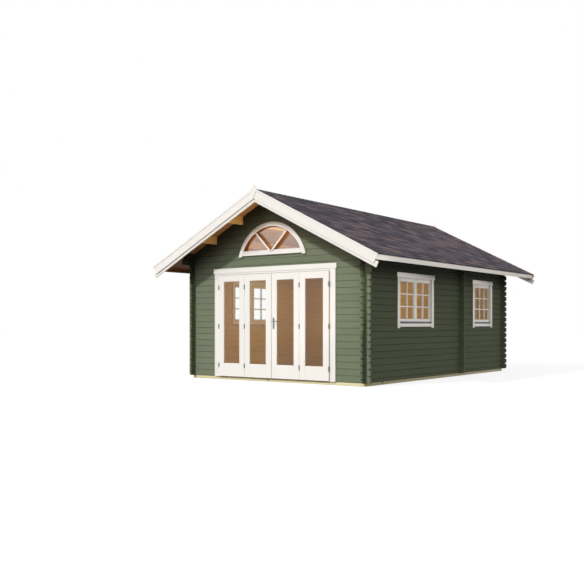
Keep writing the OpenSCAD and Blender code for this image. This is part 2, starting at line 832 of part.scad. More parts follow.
module window_glass(w, count) {
    half = sash_w(w, count) / 2 - sash_stile + glass_in;
    mid = sash_set + sash_glass_set;
    for (i = [0:count - 1]) translate([sash_x(w, count, i), 0, 0])
        box(-half, half, mid - glass_t / 2, mid + glass_t / 2, sash_z + sash_bottom - glass_in,
            sash_z + sash_h - sash_top + glass_in);
}

// Side boards that run down as feet, a head board that reaches past them, and a sill board between them
module window_casing(w) {
    half = w / 2 + casing_w;
    head_z = window_h - head_lap;
    foot_z = sill_rise - sill_h - foot_reach;
    for (side = [0, 1]) mirror([side, 0, 0]) box(w / 2, half, casing_face, -fit, foot_z, head_z);
    box(-half - head_reach, half + head_reach, casing_face - head_proud, -fit, head_z + fit,
        head_z + head_casing_h);
    box(-w / 2 + fit, w / 2 - fit, casing_face, -fit, sill_rise - sill_h, sill_rise);
}

module window_drip(w) {
    box(-w / 2 + fit, w / 2 - fit, fit, drip_back, frame_foot_h - drip_h, frame_foot_h);
}

module right_window_frames() {
    color(trim_white) {
        in_right_wall(double_y) window_frame(double_w);
        in_right_wall(single_y) window_frame(single_w);
    }
}

module right_window_sashes() {
    color(trim_white) {
        in_right_wall(double_y) window_sashes(double_w, 2);
        in_right_wall(single_y) window_sashes(single_w, 1);
    }
}

module right_window_glass() {
    color(glass_blue) {
        in_right_wall(double_y) window_glass(double_w, 2);
        in_right_wall(single_y) window_glass(single_w, 1);
    }
}

module right_window_casings() {
    color(trim_white) {
        in_right_wall(double_y) window_casing(double_w);
        in_right_wall(single_y) window_casing(single_w);
    }
}

module right_window_drips() {
    color(steel) {
        in_right_wall(double_y) window_drip(double_w);
        in_right_wall(single_y) window_drip(single_w);
    }
}

module left_window_frames() {
    mirror([1, 0, 0]) right_window_frames();
}

module left_window_sashes() {
    mirror([1, 0, 0]) right_window_sashes();
}

module left_window_glass() {
    mirror([1, 0, 0]) right_window_glass();
}

module left_window_casings() {
    mirror([1, 0, 0]) right_window_casings();
}

module left_window_drips() {
    mirror([1, 0, 0]) right_window_drips();
}

foundation_side_beams();
foundation_cross_beams();
floor_boards();
front_wall();
back_wall();
left_wall();
right_wall();
partition_wall();
partition_door_lining();
ridge_purlin();
upper_purlins();
lower_purlins();
left_roof_boards();
right_roof_boards();
left_shingles();
right_shingles();
ridge_cap();
front_bargeboards();
back_bargeboards();
front_inner_bargeboards();
back_inner_bargeboards();
eave_fascias();
door_frame();
door_casing();
door_threshold();
door_leaf_1();
door_leaf_2();
door_leaf_3();
door_leaf_4();
door_glass();
door_hinges();
door_handle();
arch_window_frame();
arch_window_casing();
arch_window_glass();
right_window_frames();
right_window_sashes();
right_window_glass();
right_window_casings();
right_window_drips();
left_window_frames();
left_window_sashes();
left_window_glass();
left_window_casings();
left_window_drips();
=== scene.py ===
import math

import bmesh
import bpy
from mathutils import Matrix, Vector


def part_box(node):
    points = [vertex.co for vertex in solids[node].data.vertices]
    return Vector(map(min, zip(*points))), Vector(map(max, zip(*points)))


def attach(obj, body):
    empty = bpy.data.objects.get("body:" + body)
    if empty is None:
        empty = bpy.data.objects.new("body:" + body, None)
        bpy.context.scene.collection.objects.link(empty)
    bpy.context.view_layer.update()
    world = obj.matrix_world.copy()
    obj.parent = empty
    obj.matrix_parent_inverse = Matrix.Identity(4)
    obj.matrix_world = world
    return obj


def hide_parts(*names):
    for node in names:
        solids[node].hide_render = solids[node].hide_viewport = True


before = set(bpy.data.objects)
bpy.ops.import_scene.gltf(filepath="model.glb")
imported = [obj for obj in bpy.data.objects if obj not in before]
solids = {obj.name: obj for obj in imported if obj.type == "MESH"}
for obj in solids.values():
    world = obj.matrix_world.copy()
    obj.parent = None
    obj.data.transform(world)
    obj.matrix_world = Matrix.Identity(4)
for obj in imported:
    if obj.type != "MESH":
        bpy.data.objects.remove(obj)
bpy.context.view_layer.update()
scene = bpy.context.scene

# Foundation beams
# Planed beams of pressure-treated pine, pale yellow with a green cast, lie flat on the ground under every
# wall, with joists between them. The planer rounds their edges a little.
beam_pale = (0.92, 0.84, 0.52)
beam_dark = (0.82, 0.72, 0.42)
beam_ease = 0.004
ring_noise = (0.7, 26.0, 26.0)
ring_waves = 62.0
ring_share = 0.62
fibre_noise = (14.0, 480.0, 480.0)
knot_cells = (2.6, 7.0, 7.0)
knot_rim = 0.13
knot_core = 0.06
knotless_share = 0.62
knot_cover = 0.85
knot_darkness = 0.35
wood_gloss = 0.25
wood_relief = 0.0008
polish_swing = 0.08
relief_strength = 0.6
board_tones = (0.82, 1.06)
board_shift = (37.0, 37.0, 37.0)
weld = 1e-5
flat_angle = math.radians(0.5)
sharp_angle = math.radians(35)
ease_steps = 2
ALONG_X = (0.0, 0.0, 0.0)
ALONG_Y = (0.0, 0.0, -math.pi / 2)
ALONG_Z = (0.0, math.pi / 2, 0.0)


def feed(socket, value):
    """Links an output to the socket, or sets the socket's own value."""
    if isinstance(value, bpy.types.NodeSocket):
        socket.id_data.links.new(value, socket)
    elif socket.type == "RGBA":
        socket.default_value = (*value, 1.0)
    else:
        socket.default_value = value


def add(tree, kind, inputs=None, **settings):
    """Adds a node with its settings, then feeds its inputs, named or numbered."""
    made = tree.nodes.new(kind)
    for name, value in settings.items():
        setattr(made, name, value)
    for key, value in (inputs or {}).items():
        feed(made.inputs[key], value)
    return made


def calc(tree, operation, *values):
    """One sum on numbers or outputs."""
    return add(tree, "ShaderNodeMath", dict(enumerate(values)), operation=operation).outputs[0]


def vector_calc(tree, operation, *values):
    """One sum on vectors or outputs."""
    return add(tree, "ShaderNodeVectorMath", dict(enumerate(values)), operation=operation).outputs[0]


def ramp(tree, value, low, high, to_low=0.0, to_high=1.0):
    """Carries the range low to high over to another range, and holds it there."""
    limits = {"From Min": low, "From Max": high, "To Min": to_low, "To Max": to_high}
    return add(tree, "ShaderNodeMapRange", {"Value": value, **limits}).outputs[0]


def between(tree, share, start, end):
    """The value at a share of the way from start to end."""
    return ramp(tree, share, 0.0, 1.0, start, end)


def mixed(tree, share, first, second):
    """A share of the first value and the rest of the second."""
    return calc(tree, "MULTIPLY_ADD", first, share, calc(tree, "MULTIPLY", second, 1.0 - share))


def tint(tree, share, first, second, how="MIX"):
    """Mixes two colours."""
    mixer = add(tree, "ShaderNodeMix", data_type="RGBA", blend_type=how)
    for socket, value in zip((mixer.inputs[0], mixer.inputs[6], mixer.inputs[7]), (share, first, second)):
        feed(socket, value)
    return mixer.outputs[2]


def dim(tree, colour, level):
    """A colour times a level."""
    grey = add(tree, "ShaderNodeCombineColor", {0: level, 1: level, 2: level}).outputs[0]
    return tint(tree, 1.0, colour, grey, "MULTIPLY")


def noise(tree, place, scale, detail):
    """Noise with so many features a metre."""
    inputs = {"Vector": place, "Scale": scale, "Detail": detail}
    return add(tree, "ShaderNodeTexNoise", inputs).outputs["Fac"]


def stretched_noise(tree, place, stretch, detail):
    """Noise with its own number of features a metre along each axis."""
    return noise(tree, vector_calc(tree, "MULTIPLY", place, stretch), 1.0, detail)


def node_group(name, kind, inputs, outputs):
    """A node group with its named sockets, and what its group input puts out."""
    group = bpy.data.node_groups.new(name, kind)
    for label, socket in inputs.items():
        group.interface.new_socket(label, in_out="INPUT", socket_type="NodeSocket" + socket)
    for label, socket in outputs.items():
        group.interface.new_socket(label, in_out="OUTPUT", socket_type="NodeSocket" + socket)
    return group, group.nodes.new("NodeGroupInput").outputs


def grain_group():
    """Growth rings, fibres and knots of sawn softwood, at a place whose X runs along the fibres."""
    group, given = node_group("wood_grain", "ShaderNodeTree", {"Along": "Vector"},
                              {"Streaks": "Float", "Knots": "Float"})
    rings = stretched_noise(group, given["Along"], ring_noise, 2.0)
    waves = calc(group, "SINE", calc(group, "MULTIPLY", rings, ring_waves))
    fibres = stretched_noise(group, given["Along"], fibre_noise, 1.0)
    streaks = mixed(group, ring_share, ramp(group, waves, -1.0, 1.0), fibres)
    cells = vector_calc(group, "MULTIPLY", given["Along"], knot_cells)
    spots = add(group, "ShaderNodeTexVoronoi", {"Vector": cells, "Scale": 1.0}).outputs
    chance = add(group, "ShaderNodeSeparateColor", {"Color": spots["Color"]}).outputs[0]
    knots = calc(group, "MULTIPLY", ramp(group, spots["Distance"], knot_rim, knot_core),
                 calc(group, "GREATER_THAN", chance, knotless_share))
    add(group, "NodeGroupOutput", {"Streaks": streaks, "Knots": knots})
    return group


def material(name):
    """A new material with its Principled shader."""
    made = bpy.data.materials.new(name)
    made.use_nodes = True
    return made, made.node_tree, made.node_tree.nodes["Principled BSDF"]


def own_place(tree):
    """Object coordinates: metres in the cabin's frame."""
    return add(tree, "ShaderNodeTexCoord").outputs["Object"]


def along_fibres(tree, turn):
    """Object coordinates, turned until X runs along the wood's fibres."""
    return add(tree, "ShaderNodeMapping", {"Vector": own_place(tree), "Rotation": turn}).outputs[0]


def surface(tree, shader, colour, roughness, height, relief, constants):
    """Feeds a shader its colour, its roughness, a height that is so many metres deep, and its constants."""
    depth = {"Height": height, "Strength": relief_strength, "Distance": relief}
    bump = add(tree, "ShaderNodeBump", depth).outputs[0]
    inputs = {"Base Color": colour, "Roughness": roughness, "Normal": bump, **constants}
    for name, value in inputs.items():
        feed(shader.inputs[name], value)


grain = grain_group()


def wood(name, pale, dark, turn, roughness=0.55, toned=False):
    """Bare or oiled softwood. Where toned, each board's own tone shifts its colour and its figure."""
    made, tree, shader = material(name)
    along = along_fibres(tree, turn)
    if toned:
        tone = add(tree, "ShaderNodeAttribute", attribute_name="tone").outputs["Fac"]
        along = vector_calc(tree, "MULTIPLY_ADD", tone, board_shift, along)
    figure = add(tree, "ShaderNodeGroup", {"Along": along}, node_tree=grain).outputs
    colour = tint(tree, figure["Streaks"], pale, dark)
    knot = tuple(knot_darkness * part for part in dark)
    colour = tint(tree, calc(tree, "MULTIPLY", figure["Knots"], knot_cover), colour, knot)
    if toned:
        colour = dim(tree, colour, between(tree, tone, *board_tones))
    polish = between(tree, figure["Streaks"], roughness + polish_swing, roughness - polish_swing)
    surface(tree, shader, colour, polish, figure["Streaks"], wood_relief, {"Specular IOR Level": wood_gloss})
    return made


def as_object(name, shape, *finishes):
    """A mesh object at the origin from a finished bmesh, with its materials."""
    mesh = bpy.data.meshes.new(name)
    shape.to_mesh(mesh)
    shape.free()
    for finish in finishes:
        mesh.materials.append(finish)
    made = bpy.data.objects.new(name, mesh)
    scene.collection.objects.link(made)
    return made


def fix_shape(piece):
    """Turns what the modifiers make into the piece's plain mesh."""
    made = piece.evaluated_get(bpy.context.evaluated_depsgraph_get())
    piece.data = bpy.data.meshes.new_from_object(made)
    piece.modifiers.clear()


def settle(piece, node=None):
    """Fixes a piece to the cabin and hides the CAD solid that it stands for, if there is one."""
    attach(piece, "root")
    if node:
        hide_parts(node)


def eased(name, node, finish, ease):
    """A copy of a CAD solid with its sharp edges rounded, which stands for the solid."""
    shape = bmesh.new()
    shape.from_mesh(solids[node].data)
    bmesh.ops.remove_doubles(shape, verts=shape.verts, dist=weld)
    bmesh.ops.dissolve_limit(shape, angle_limit=flat_angle, verts=shape.verts, edges=shape.edges)
    for face in shape.faces:
        face.smooth = True
        face.material_index = 0
    piece = as_object(name, shape, finish)
    rounding = piece.modifiers.new("eased edges", "BEVEL")
    rounding.width = ease
    rounding.segments = ease_steps
    rounding.limit_method = "ANGLE"
    rounding.angle_limit = sharp_angle
    rounding.harden_normals = True
    fix_shape(piece)
    settle(piece, node)
    return piece


treated_along_y = wood("treated_along_y", beam_pale, beam_dark, ALONG_Y)
treated_along_x = wood("treated_along_x", beam_pale, beam_dark, ALONG_X)
eased("side_beams", "foundation_side_beams", treated_along_y, beam_ease)
eased("cross_beams", "foundation_cross_beams", treated_along_x, beam_ease)

# Floor
# Tongued pine boards, nailed to the joists, run lengthwise through both rooms and over the sill of the
# inner doorway. Only the fine chamfered joints between the boards show.
pine_pale = (0.66, 0.37, 0.14)
pine_dark = (0.47, 0.22, 0.07)
floor_board_w = 0.1
floor_joint = 0.0006
floor_chamfer = 0.0015
lining_t = 0.024
floor_low, floor_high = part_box("floor_boards")
inner_wall_low, inner_wall_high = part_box("partition_wall")
doorway_low, doorway_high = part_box("partition_door_lining")
floor_pine = wood("floor_pine", pine_pale, pine_dark, ALONG_Y, roughness=0.4, toned=True)


def close_tree(tree, instances, given):
    """Gives each instance a tone of its own, makes the instances real and dresses them."""
    tone = add(tree, "FunctionNodeRandomValue", {"Seed": given["Seed"]}).outputs[1]
    inputs = {"Geometry": instances, "Name": "tone", "Value": tone}
    toned = add(tree, "GeometryNodeStoreNamedAttribute", inputs, data_type="FLOAT", domain="INSTANCE")
    real = add(tree, "GeometryNodeRealizeInstances", {"Geometry": toned.outputs[0]}).outputs[0]
    dressed = add(tree, "GeometryNodeSetMaterial", {"Geometry": real, "Material": given["Finish"]})
    add(tree, "NodeGroupOutput", {"Shape": dressed.outputs[0]})
    return tree


def row_tree():
    """Like pieces in a row, a step apart."""
    tree, given = node_group("pieces_in_a_row", "GeometryNodeTree",
                             {"Piece": "Object", "Count": "Int", "Step": "Vector", "Seed": "Int",
                              "Finish": "Material"}, {"Shape": "Geometry"})
    points = {"Count": given["Count"], "Offset": given["Step"]}
    line = add(tree, "GeometryNodeMeshLine", points, mode="OFFSET").outputs[0]
    piece = add(tree, "GeometryNodeObjectInfo", {"Object": given["Piece"]}).outputs["Geometry"]
    row = add(tree, "GeometryNodeInstanceOnPoints", {"Points": line, "Instance": piece})
    return close_tree(tree, row.outputs[0], given)


def grown(name, tree, inputs, mesh=None):
    """A plain mesh piece that a tree makes. The piece that it repeats isn't kept."""
    piece = bpy.data.objects.new(name, mesh or bpy.data.meshes.new(name))
    scene.collection.objects.link(piece)
    growth = piece.modifiers.new("growth", "NODES")
    growth.node_group = tree
    for socket in tree.interface.items_tree:
        if socket.name in inputs:
            growth[socket.identifier] = inputs[socket.name]
    fix_shape(piece)
    bpy.data.objects.remove(inputs["Piece"])
    return piece


def finished(name, shape, *finishes):
    """The object of a bmesh whose faces are turned outwards, with its materials."""
    bmesh.ops.recalc_face_normals(shape, faces=shape.faces)
    return as_object(name, shape, *finishes)


def solid_between(name, first, second, *finishes):
    """A closed solid between two outlines that have as many points."""
    shape = bmesh.new()
    near = [shape.verts.new(point) for point in first]
    far = [shape.verts.new(point) for point in second]
    shape.faces.new(near)
    shape.faces.new(far[::-1])
    for i in range(len(near)):
        shape.faces.new((near[i - 1], near[i], far[i], far[i - 1]))
    return finished(name, shape, *finishes)


def prism(name, outline, run, *finishes):
    """A closed bar: an outline drawn in space, carried along a run."""
    return solid_between(name, outline, [Vector(point) + Vector(run) for point in outline], *finishes)


def join(name, pieces):
    """One mesh object from several, with their materials kept."""
    with bpy.context.temp_override(active_object=pieces[0], selected_editable_objects=pieces):
        bpy.ops.object.join()
    pieces[0].name = name
    return pieces[0]


in_a_row = row_tree()


def floor_field(name, x0, x1, y0, y1, seed):
    """Boards side by side that fill a rectangle of floor."""
    count = max(1, round((x1 - x0) / floor_board_w))
    step = (x1 - x0) / count
    left = x0 + floor_joint
    right = x0 + step - floor_joint
    low = floor_low.z
    high = floor_high.z
    section = [(left, low), (right, low), (right, high - floor_chamfer), (right - floor_chamfer, high),
               (left + floor_chamfer, high), (left, high - floor_chamfer)]
    board = prism(name + "_board", [(x, y0, z) for x, z in section], (0, y1 - y0, 0))
    inputs = {"Piece": board, "Count": count, "Step": (step, 0.0, 0.0), "Seed": seed, "Finish": floor_pine}
    return grown(name, in_a_row, inputs)


floor = join("floor_planks", [
    floor_field("front_floor", floor_low.x, floor_high.x, floor_low.y, inner_wall_low.y, seed=3),
    floor_field("rear_floor", floor_low.x, floor_high.x, inner_wall_high.y, floor_high.y, seed=4),
    floor_field("doorway_floor", doorway_low.x + lining_t, doorway_high.x - lining_t, inner_wall_low.y,
                inner_wall_high.y, seed=5),
])
settle(floor, "floor_boards")

# Log walls
# Planed spruce logs with tongues, grooves and bevelled joints, stacked dry and half-lapped where two walls
# cross. Outside, ends and all, they carry matt green paint, darkened by painted shade on the long walls,
# under the roof and in the joints; inside the wood is bare.
log_green = (0.195, 0.229, 0.153)
# The long walls' green is darker than the gables' green: painted shade for the walls that the sun misses.
long_wall_shaded_green = (0.148, 0.175, 0.102)
# Painted shade: where under the roof the green starts to darken, how dark it gets, and how dark the joints
# get.
gable_painted_shade = {"Roof shade top": 0.1, "Roof shade foot": 0.52, "Roof shade level": 0.22, "Joint shade level": 0.8}
long_wall_painted_shade = {"Roof shade top": 0.36, "Roof shade foot": 0.64, "Roof shade level": 0.15, "Joint shade level": 0.55}
joint_shade_reach = (0.004, 0.009)
inside_pale = (0.68, 0.47, 0.10)
inside_dark = (0.52, 0.33, 0.06)
inside_knot = (0.20, 0.08, 0.03)
inside_knot_cover = 0.8
log_gloss = 0.15
log_roughness = (0.72, 0.6)
log_relief = 0.0005
log_tones = (0.94, 1.0)
log_shift = (53.0, 0.0, 0.0)
log_h = 0.117
wall_foot = 0.055
pitch = math.radians(26.9)
roof_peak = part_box("ridge_purlin")[1].z
room_x = sum(corner.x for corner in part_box("right_wall")) / 2
room_y = sum(corner.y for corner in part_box("back_wall")) / 2
brush_noise = (5.0, 240.0, 240.0)
mottle_noise = (1.1, 3.1, 3.1)
brush_share = 0.4
film_share = 0.7
noise_range = (0.3, 0.7)
log_paint_depth = 0.07


def film_group():
    """Brush marks and slight mottling of a coat of paint, at a place whose X runs along the wood."""
    group, given = node_group("paint_film", "ShaderNodeTree", {"Along": "Vector"},
                              {"Shade": "Float", "Height": "Float"})
    brush = stretched_noise(group, given["Along"], brush_noise, 2.0)
    mottle = stretched_noise(group, given["Along"], mottle_noise, 3.0)
    add(group, "NodeGroupOutput", {"Shade": mixed(group, brush_share, brush, mottle), "Height": brush})
    return group


def course_group():
    """Each log's tone, what is indoors, and the painted shade's level: lower under the roof and in the
    joints.
    """
    group, given = node_group("log_courses", "ShaderNodeTree",
                              {"Place": "Vector", "First joint": "Float", "Roof shade top": "Float",
                               "Roof shade foot": "Float", "Roof shade level": "Float", "Joint shade level": "Float"},
                              {"Tone": "Float", "Indoors": "Float", "Level": "Float"})
    x, y, z = add(group, "ShaderNodeSeparateXYZ", {0: given["Place"]}).outputs
    from_ridge = calc(group, "ABSOLUTE", x)
    indoors = calc(group, "MULTIPLY", calc(group, "LESS_THAN", from_ridge, room_x),
                   calc(group, "LESS_THAN", calc(group, "ABSOLUTE", y), room_y))
    rows = calc(group, "DIVIDE", calc(group, "SUBTRACT", z, given["First joint"]), log_h)
    course = calc(group, "FLOOR", rows)
    tone = add(group, "ShaderNodeTexWhiteNoise", {"W": course}, noise_dimensions="1D").outputs["Value"]
    roof_z = calc(group, "SUBTRACT", roof_peak, calc(group, "MULTIPLY", from_ridge, math.tan(pitch)))
    below_roof = calc(group, "SUBTRACT", roof_z, z)
    # Painted shade under the roof: the green darkens towards the roof's underside.
    roof_shade = ramp(group, below_roof, given["Roof shade top"], given["Roof shade foot"], given["Roof shade level"])
    # Painted shade in the joints: the green darkens within a few millimetres of each joint, most on the long
    # walls.
    from_joint = calc(group, "MULTIPLY", calc(group, "PINGPONG", rows, 0.5), log_h)
    level = calc(group, "MULTIPLY", roof_shade, ramp(group, from_joint, *joint_shade_reach, given["Joint shade level"]))
    add(group, "NodeGroupOutput", {"Tone": tone, "Indoors": indoors, "Level": level})
    return group


film = film_group()
log_courses = course_group()


def coat(tree, along, colour, depth):
    """Paint on wood: its colour, up to depth darker in brush marks and grain, its height, and the grain."""
    brushed = add(tree, "ShaderNodeGroup", {"Along": along}, node_tree=film).outputs
    figure = add(tree, "ShaderNodeGroup", {"Along": along}, node_tree=grain).outputs
    veil = mixed(tree, film_share, brushed["Shade"], figure["Streaks"])
    deeper = tuple((1.0 - depth) * part for part in colour)
    lighter = tuple(min(1.0, (1.0 + depth) * part) for part in colour)
    film_colour = tint(tree, ramp(tree, veil, *noise_range), lighter, deeper)
    return film_colour, calc(tree, "ADD", brushed["Height"], figure["Streaks"]), figure


def log_finish(name, turn, first_joint, paint, depth):
    """Green paint outside, darkened by the painted shade that the course group sets, and bare spruce inside.
    """
    made, tree, shader = material(name)
    inputs = {"Place": own_place(tree), "First joint": first_joint, **depth}
    course = add(tree, "ShaderNodeGroup", inputs, node_tree=log_courses).outputs
    along = vector_calc(tree, "MULTIPLY_ADD", course["Tone"], log_shift, along_fibres(tree, turn))
    green, height, figure = coat(tree, along, paint, log_paint_depth)
    # Painted shade: the course group's level darkens the green under the roof and in the joints.
    green = dim(tree, green, course["Level"])
    bare = tint(tree, figure["Streaks"], inside_pale, inside_dark)
    bare = tint(tree, calc(tree, "MULTIPLY", figure["Knots"], inside_knot_cover), bare, inside_knot)
    colour = tint(tree, course["Indoors"], green, bare)
    colour = dim(tree, colour, between(tree, course["Tone"], *log_tones))
    polish = between(tree, figure["Streaks"], *log_roughness)
    surface(tree, shader, colour, polish, height, log_relief, {"Specular IOR Level": log_gloss})
    return made


def dress(node, finish):
    """Gives a CAD solid a better material."""
    for slot in solids[node].material_slots:
        slot.material = finish


cross_logs = log_finish("logs_along_x", ALONG_X, wall_foot, log_green, gable_painted_shade)
long_logs = log_finish("logs_along_y", ALONG_Y, wall_foot - log_h / 2, long_wall_shaded_green, long_wall_painted_shade)
for wall in ("front_wall", "back_wall", "partition_wall"):
    dress(wall, cross_logs)
for wall in ("left_wall", "right_wall"):
    dress(wall, long_logs)

# Lining of the inner doorway
# Planed pine boards line the opening in the partition on both sides and overhead. They hold the cut log
# ends, to which they are nailed.
lining_ease = 0.002
lining_pine = wood("lining_pine", pine_pale, pine_dark, ALONG_Z)
eased("doorway_lining", "partition_door_lining", lining_pine, lining_ease)

# Purlins
# Five planed pine beams carry the roof boards from gable to gable. They pass through notches in the gable
# logs and reach out to the bargeboards, where their bare sides show under the overhang.
purlin_pale = (0.95, 0.58, 0.20)
purlin_dark = (0.84, 0.45, 0.13)
purlin_ease = 0.003
purlin_pine = wood("purlin_pine", purlin_pale, purlin_dark, ALONG_Y)
for name in ("ridge_purlin", "upper_purlins", "lower_purlins"):
    eased(name + "_planed", name, purlin_pine, purlin_ease)

# Roof boards
# Tongued pine boards run from the ridge to the eaves over the purlins, nailed down to each. Their lower
# faces, with a small V at every joint, are the ceiling and the soffit.
soffit_pale = (0.62, 0.30, 0.11)
soffit_dark = (0.48, 0.205, 0.066)
roof_board_w = 0.096
roof_joint = 0.0005
roof_chamfer = 0.003


def roof_boards(name, node, side, seed):
    """One slope of boards; side is 1 on the right and -1 on the left."""
    low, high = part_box(node)
    inner, outer = sorted((low.x, high.x), key=abs)
    run = Vector((outer - inner, 0.0, -(abs(outer) - abs(inner)) * math.tan(pitch)))
    count = round((high.y - low.y) / roof_board_w)
    step = (high.y - low.y) / count
    near = low.y + roof_joint
    far = low.y + step - roof_joint
    foot = low.z - run.z
    vee = foot + roof_chamfer / math.cos(pitch)
    section = [(near, vee), (near + roof_chamfer, foot), (far - roof_chamfer, foot), (far, vee),
               (far, high.z), (near, high.z)]
    board = prism(name + "_board", [(inner, y, z) for y, z in section], run)
    finish = wood(name + "_pine", soffit_pale, soffit_dark, (0.0, -side * pitch, 0.0), toned=True)
    inputs = {"Piece": board, "Count": count, "Step": (0.0, step, 0.0), "Seed": seed, "Finish": finish}
    settle(grown(name, in_a_row, inputs), node)


roof_boards("right_soffit", "right_roof_boards", side=1, seed=11)
roof_boards("left_soffit", "left_roof_boards", side=-1, seed=12)

# Shingles
# Bitumen shingles with mineral granules, nailed in courses from the eaves up. Each course is a strip of
# three tabs a metre, half a tab aside from the one below, in mixed slate, plum and brown.
shingle_slate = (0.097, 0.085, 0.105)
shingle_plum = (0.126, 0.103, 0.122)
shingle_brown = (0.185, 0.136, 0.132)
shingle_dark = (0.062, 0.054, 0.068)
slate_tones = (0.15, 0.45)
plum_tones = (0.4, 0.7)
brown_tones = (0.72, 1.0)
tone_drift = 0.18
drift_noise = 9.0
shingle_gloss = 0.12
granules_a_metre = 420.0
granule_tones = (0.7, 1.3)
granule_roughness = (0.8, 0.95)
granule_relief = 0.0012
tab_w = 1.0 / 3.0
tab_t = 0.004
tab_joint = 0.007
tab_clip = 0.02
tab_clip_rise = 0.006
tab_lap = 1.06
courses = 20


def shingle_tree():
    """Courses of tabs on the flat: X runs up the slope from the eave, Y along the eave, from end to end."""
    tree, given = node_group("shingle_courses", "GeometryNodeTree",
                             {"Piece": "Object", "Columns": "Int", "Courses": "Int", "Width": "Float",
                              "Exposure": "Float", "Joint": "Float", "Seed": "Int", "Finish": "Material"},
                             {"Shape": "Geometry"})
    whole = calc(tree, "SUBTRACT", given["Columns"], 1.0)
    half = calc(tree, "MULTIPLY", calc(tree, "MULTIPLY", whole, given["Width"]), 0.5)
    count = calc(tree, "MULTIPLY", given["Columns"], given["Courses"])
    line = add(tree, "GeometryNodeMeshLine", {"Count": count}).outputs[0]
    index = add(tree, "GeometryNodeInputIndex").outputs[0]
    course = calc(tree, "FLOOR", calc(tree, "DIVIDE", index, given["Columns"]))
    column = calc(tree, "SUBTRACT", index, calc(tree, "MULTIPLY", course, given["Columns"]))
    aside = calc(tree, "MULTIPLY", calc(tree, "MODULO", course, 2.0), 0.5)
    from_end = calc(tree, "MULTIPLY", calc(tree, "SUBTRACT", column, aside), given["Width"])
    start = calc(tree, "SUBTRACT", from_end, half)
    end = calc(tree, "MINIMUM", calc(tree, "ADD", start, given["Width"]), half)
    start = calc(tree, "MAXIMUM", start, calc(tree, "MULTIPLY", half, -1.0))
    width = calc(tree, "SUBTRACT", calc(tree, "SUBTRACT", end, start), given["Joint"])
    middle = calc(tree, "MULTIPLY", calc(tree, "ADD", start, end), 0.5)
    up_slope = calc(tree, "MULTIPLY", course, given["Exposure"])
    place = add(tree, "ShaderNodeCombineXYZ", {"X": up_slope, "Y": middle}).outputs[0]
    laid = add(tree, "GeometryNodeSetPosition", {"Geometry": line, "Position": place}).outputs[0]
    size = add(tree, "ShaderNodeCombineXYZ", {"X": 1.0, "Y": width, "Z": 1.0}).outputs[0]
    tab = add(tree, "GeometryNodeObjectInfo", {"Object": given["Piece"]}).outputs["Geometry"]
    wide_enough = calc(tree, "GREATER_THAN", width, given["Joint"])
    tabs = add(tree, "GeometryNodeInstanceOnPoints",
               {"Points": laid, "Instance": tab, "Scale": size, "Selection": wide_enough})
    return close_tree(tree, tabs.outputs[0], given)


def shingle_tab(exposure):
    """One tab a metre wide, its lower edge lifted by the course below, its lower corners clipped."""
    top = tab_lap * exposure
    outline = [(0.0, -0.5 + tab_clip), (0.0, 0.5 - tab_clip), (tab_clip_rise, 0.5), (top, 0.5), (top, -0.5),
               (tab_clip_rise, -0.5)]
    under = [Vector((x, y, tab_t * (1.0 - x / exposure))) for x, y in outline]
    return prism("shingle_tab", under, (0.0, 0.0, tab_t))


def shingle_finish():
    """Mineral granules on bitumen, each tab in one of the mixed tones."""
    made, tree, shader = material("granules")
    place = own_place(tree)
    tone = add(tree, "ShaderNodeAttribute", attribute_name="tone").outputs["Fac"]
    drift = ramp(tree, noise(tree, place, drift_noise, 3.0), *noise_range, -tone_drift, tone_drift)
    tone = calc(tree, "ADD", tone, drift)
    colour = shingle_dark
    for tones, next_colour in ((slate_tones, shingle_slate), (plum_tones, shingle_plum),
                               (brown_tones, shingle_brown)):
        colour = tint(tree, ramp(tree, tone, *tones), colour, next_colour)
    grit = add(tree, "ShaderNodeTexVoronoi", {"Vector": place, "Scale": granules_a_metre}).outputs
    speck = add(tree, "ShaderNodeSeparateColor", {"Color": grit["Color"]}).outputs[0]
    colour = dim(tree, colour, between(tree, speck, *granule_tones))
    polish = between(tree, speck, *granule_roughness)
    gloss = {"Specular IOR Level": shingle_gloss}
    surface(tree, shader, colour, polish, grit["Distance"], granule_relief, gloss)
    return made


granules = shingle_finish()
shingle_courses = shingle_tree()


def shingled(name, node, side, seed):
    """One slope of tabs on top of its sheet; side is 1 on the right and -1 on the left."""
    low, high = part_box(node)
    length = high.y - low.y
    inner, eave = sorted((abs(low.x), abs(high.x)))
    exposure = eave / math.cos(pitch) / courses
    whole = round(length / tab_w)
    inputs = {"Piece": shingle_tab(exposure), "Columns": whole + 1, "Courses": courses,
              "Width": length / whole, "Exposure": exposure, "Joint": tab_joint, "Seed": seed,
              "Finish": granules}
    tabs = grown(name, shingle_courses, inputs)
    top_at_eave = high.z - (eave - inner) * math.tan(pitch)
    turn = Matrix.Rotation(math.pi if side > 0 else 0.0, 4, "Z") @ Matrix.Rotation(-pitch, 4, "Y")
    tabs.data.transform(Matrix.Translation((side * eave, 0.0, top_at_eave)) @ turn)
    dress(node, granules)
    settle(tabs)


shingled("right_shingle_tabs", "right_shingles", side=1, seed=21)
shingled("left_shingle_tabs", "left_shingles", side=-1, seed=22)

# Ridge caps
# Single tabs bent over the ridge and lapped along it, the last at the front gable. Each is nailed where the
# next one covers it.
cap_exposure = 0.145
cap_lap = 0.03
cap_tail_drop = 0.0006
crown_r = 0.03
crown_steps = 6
cap_low, cap_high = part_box("ridge_cap")


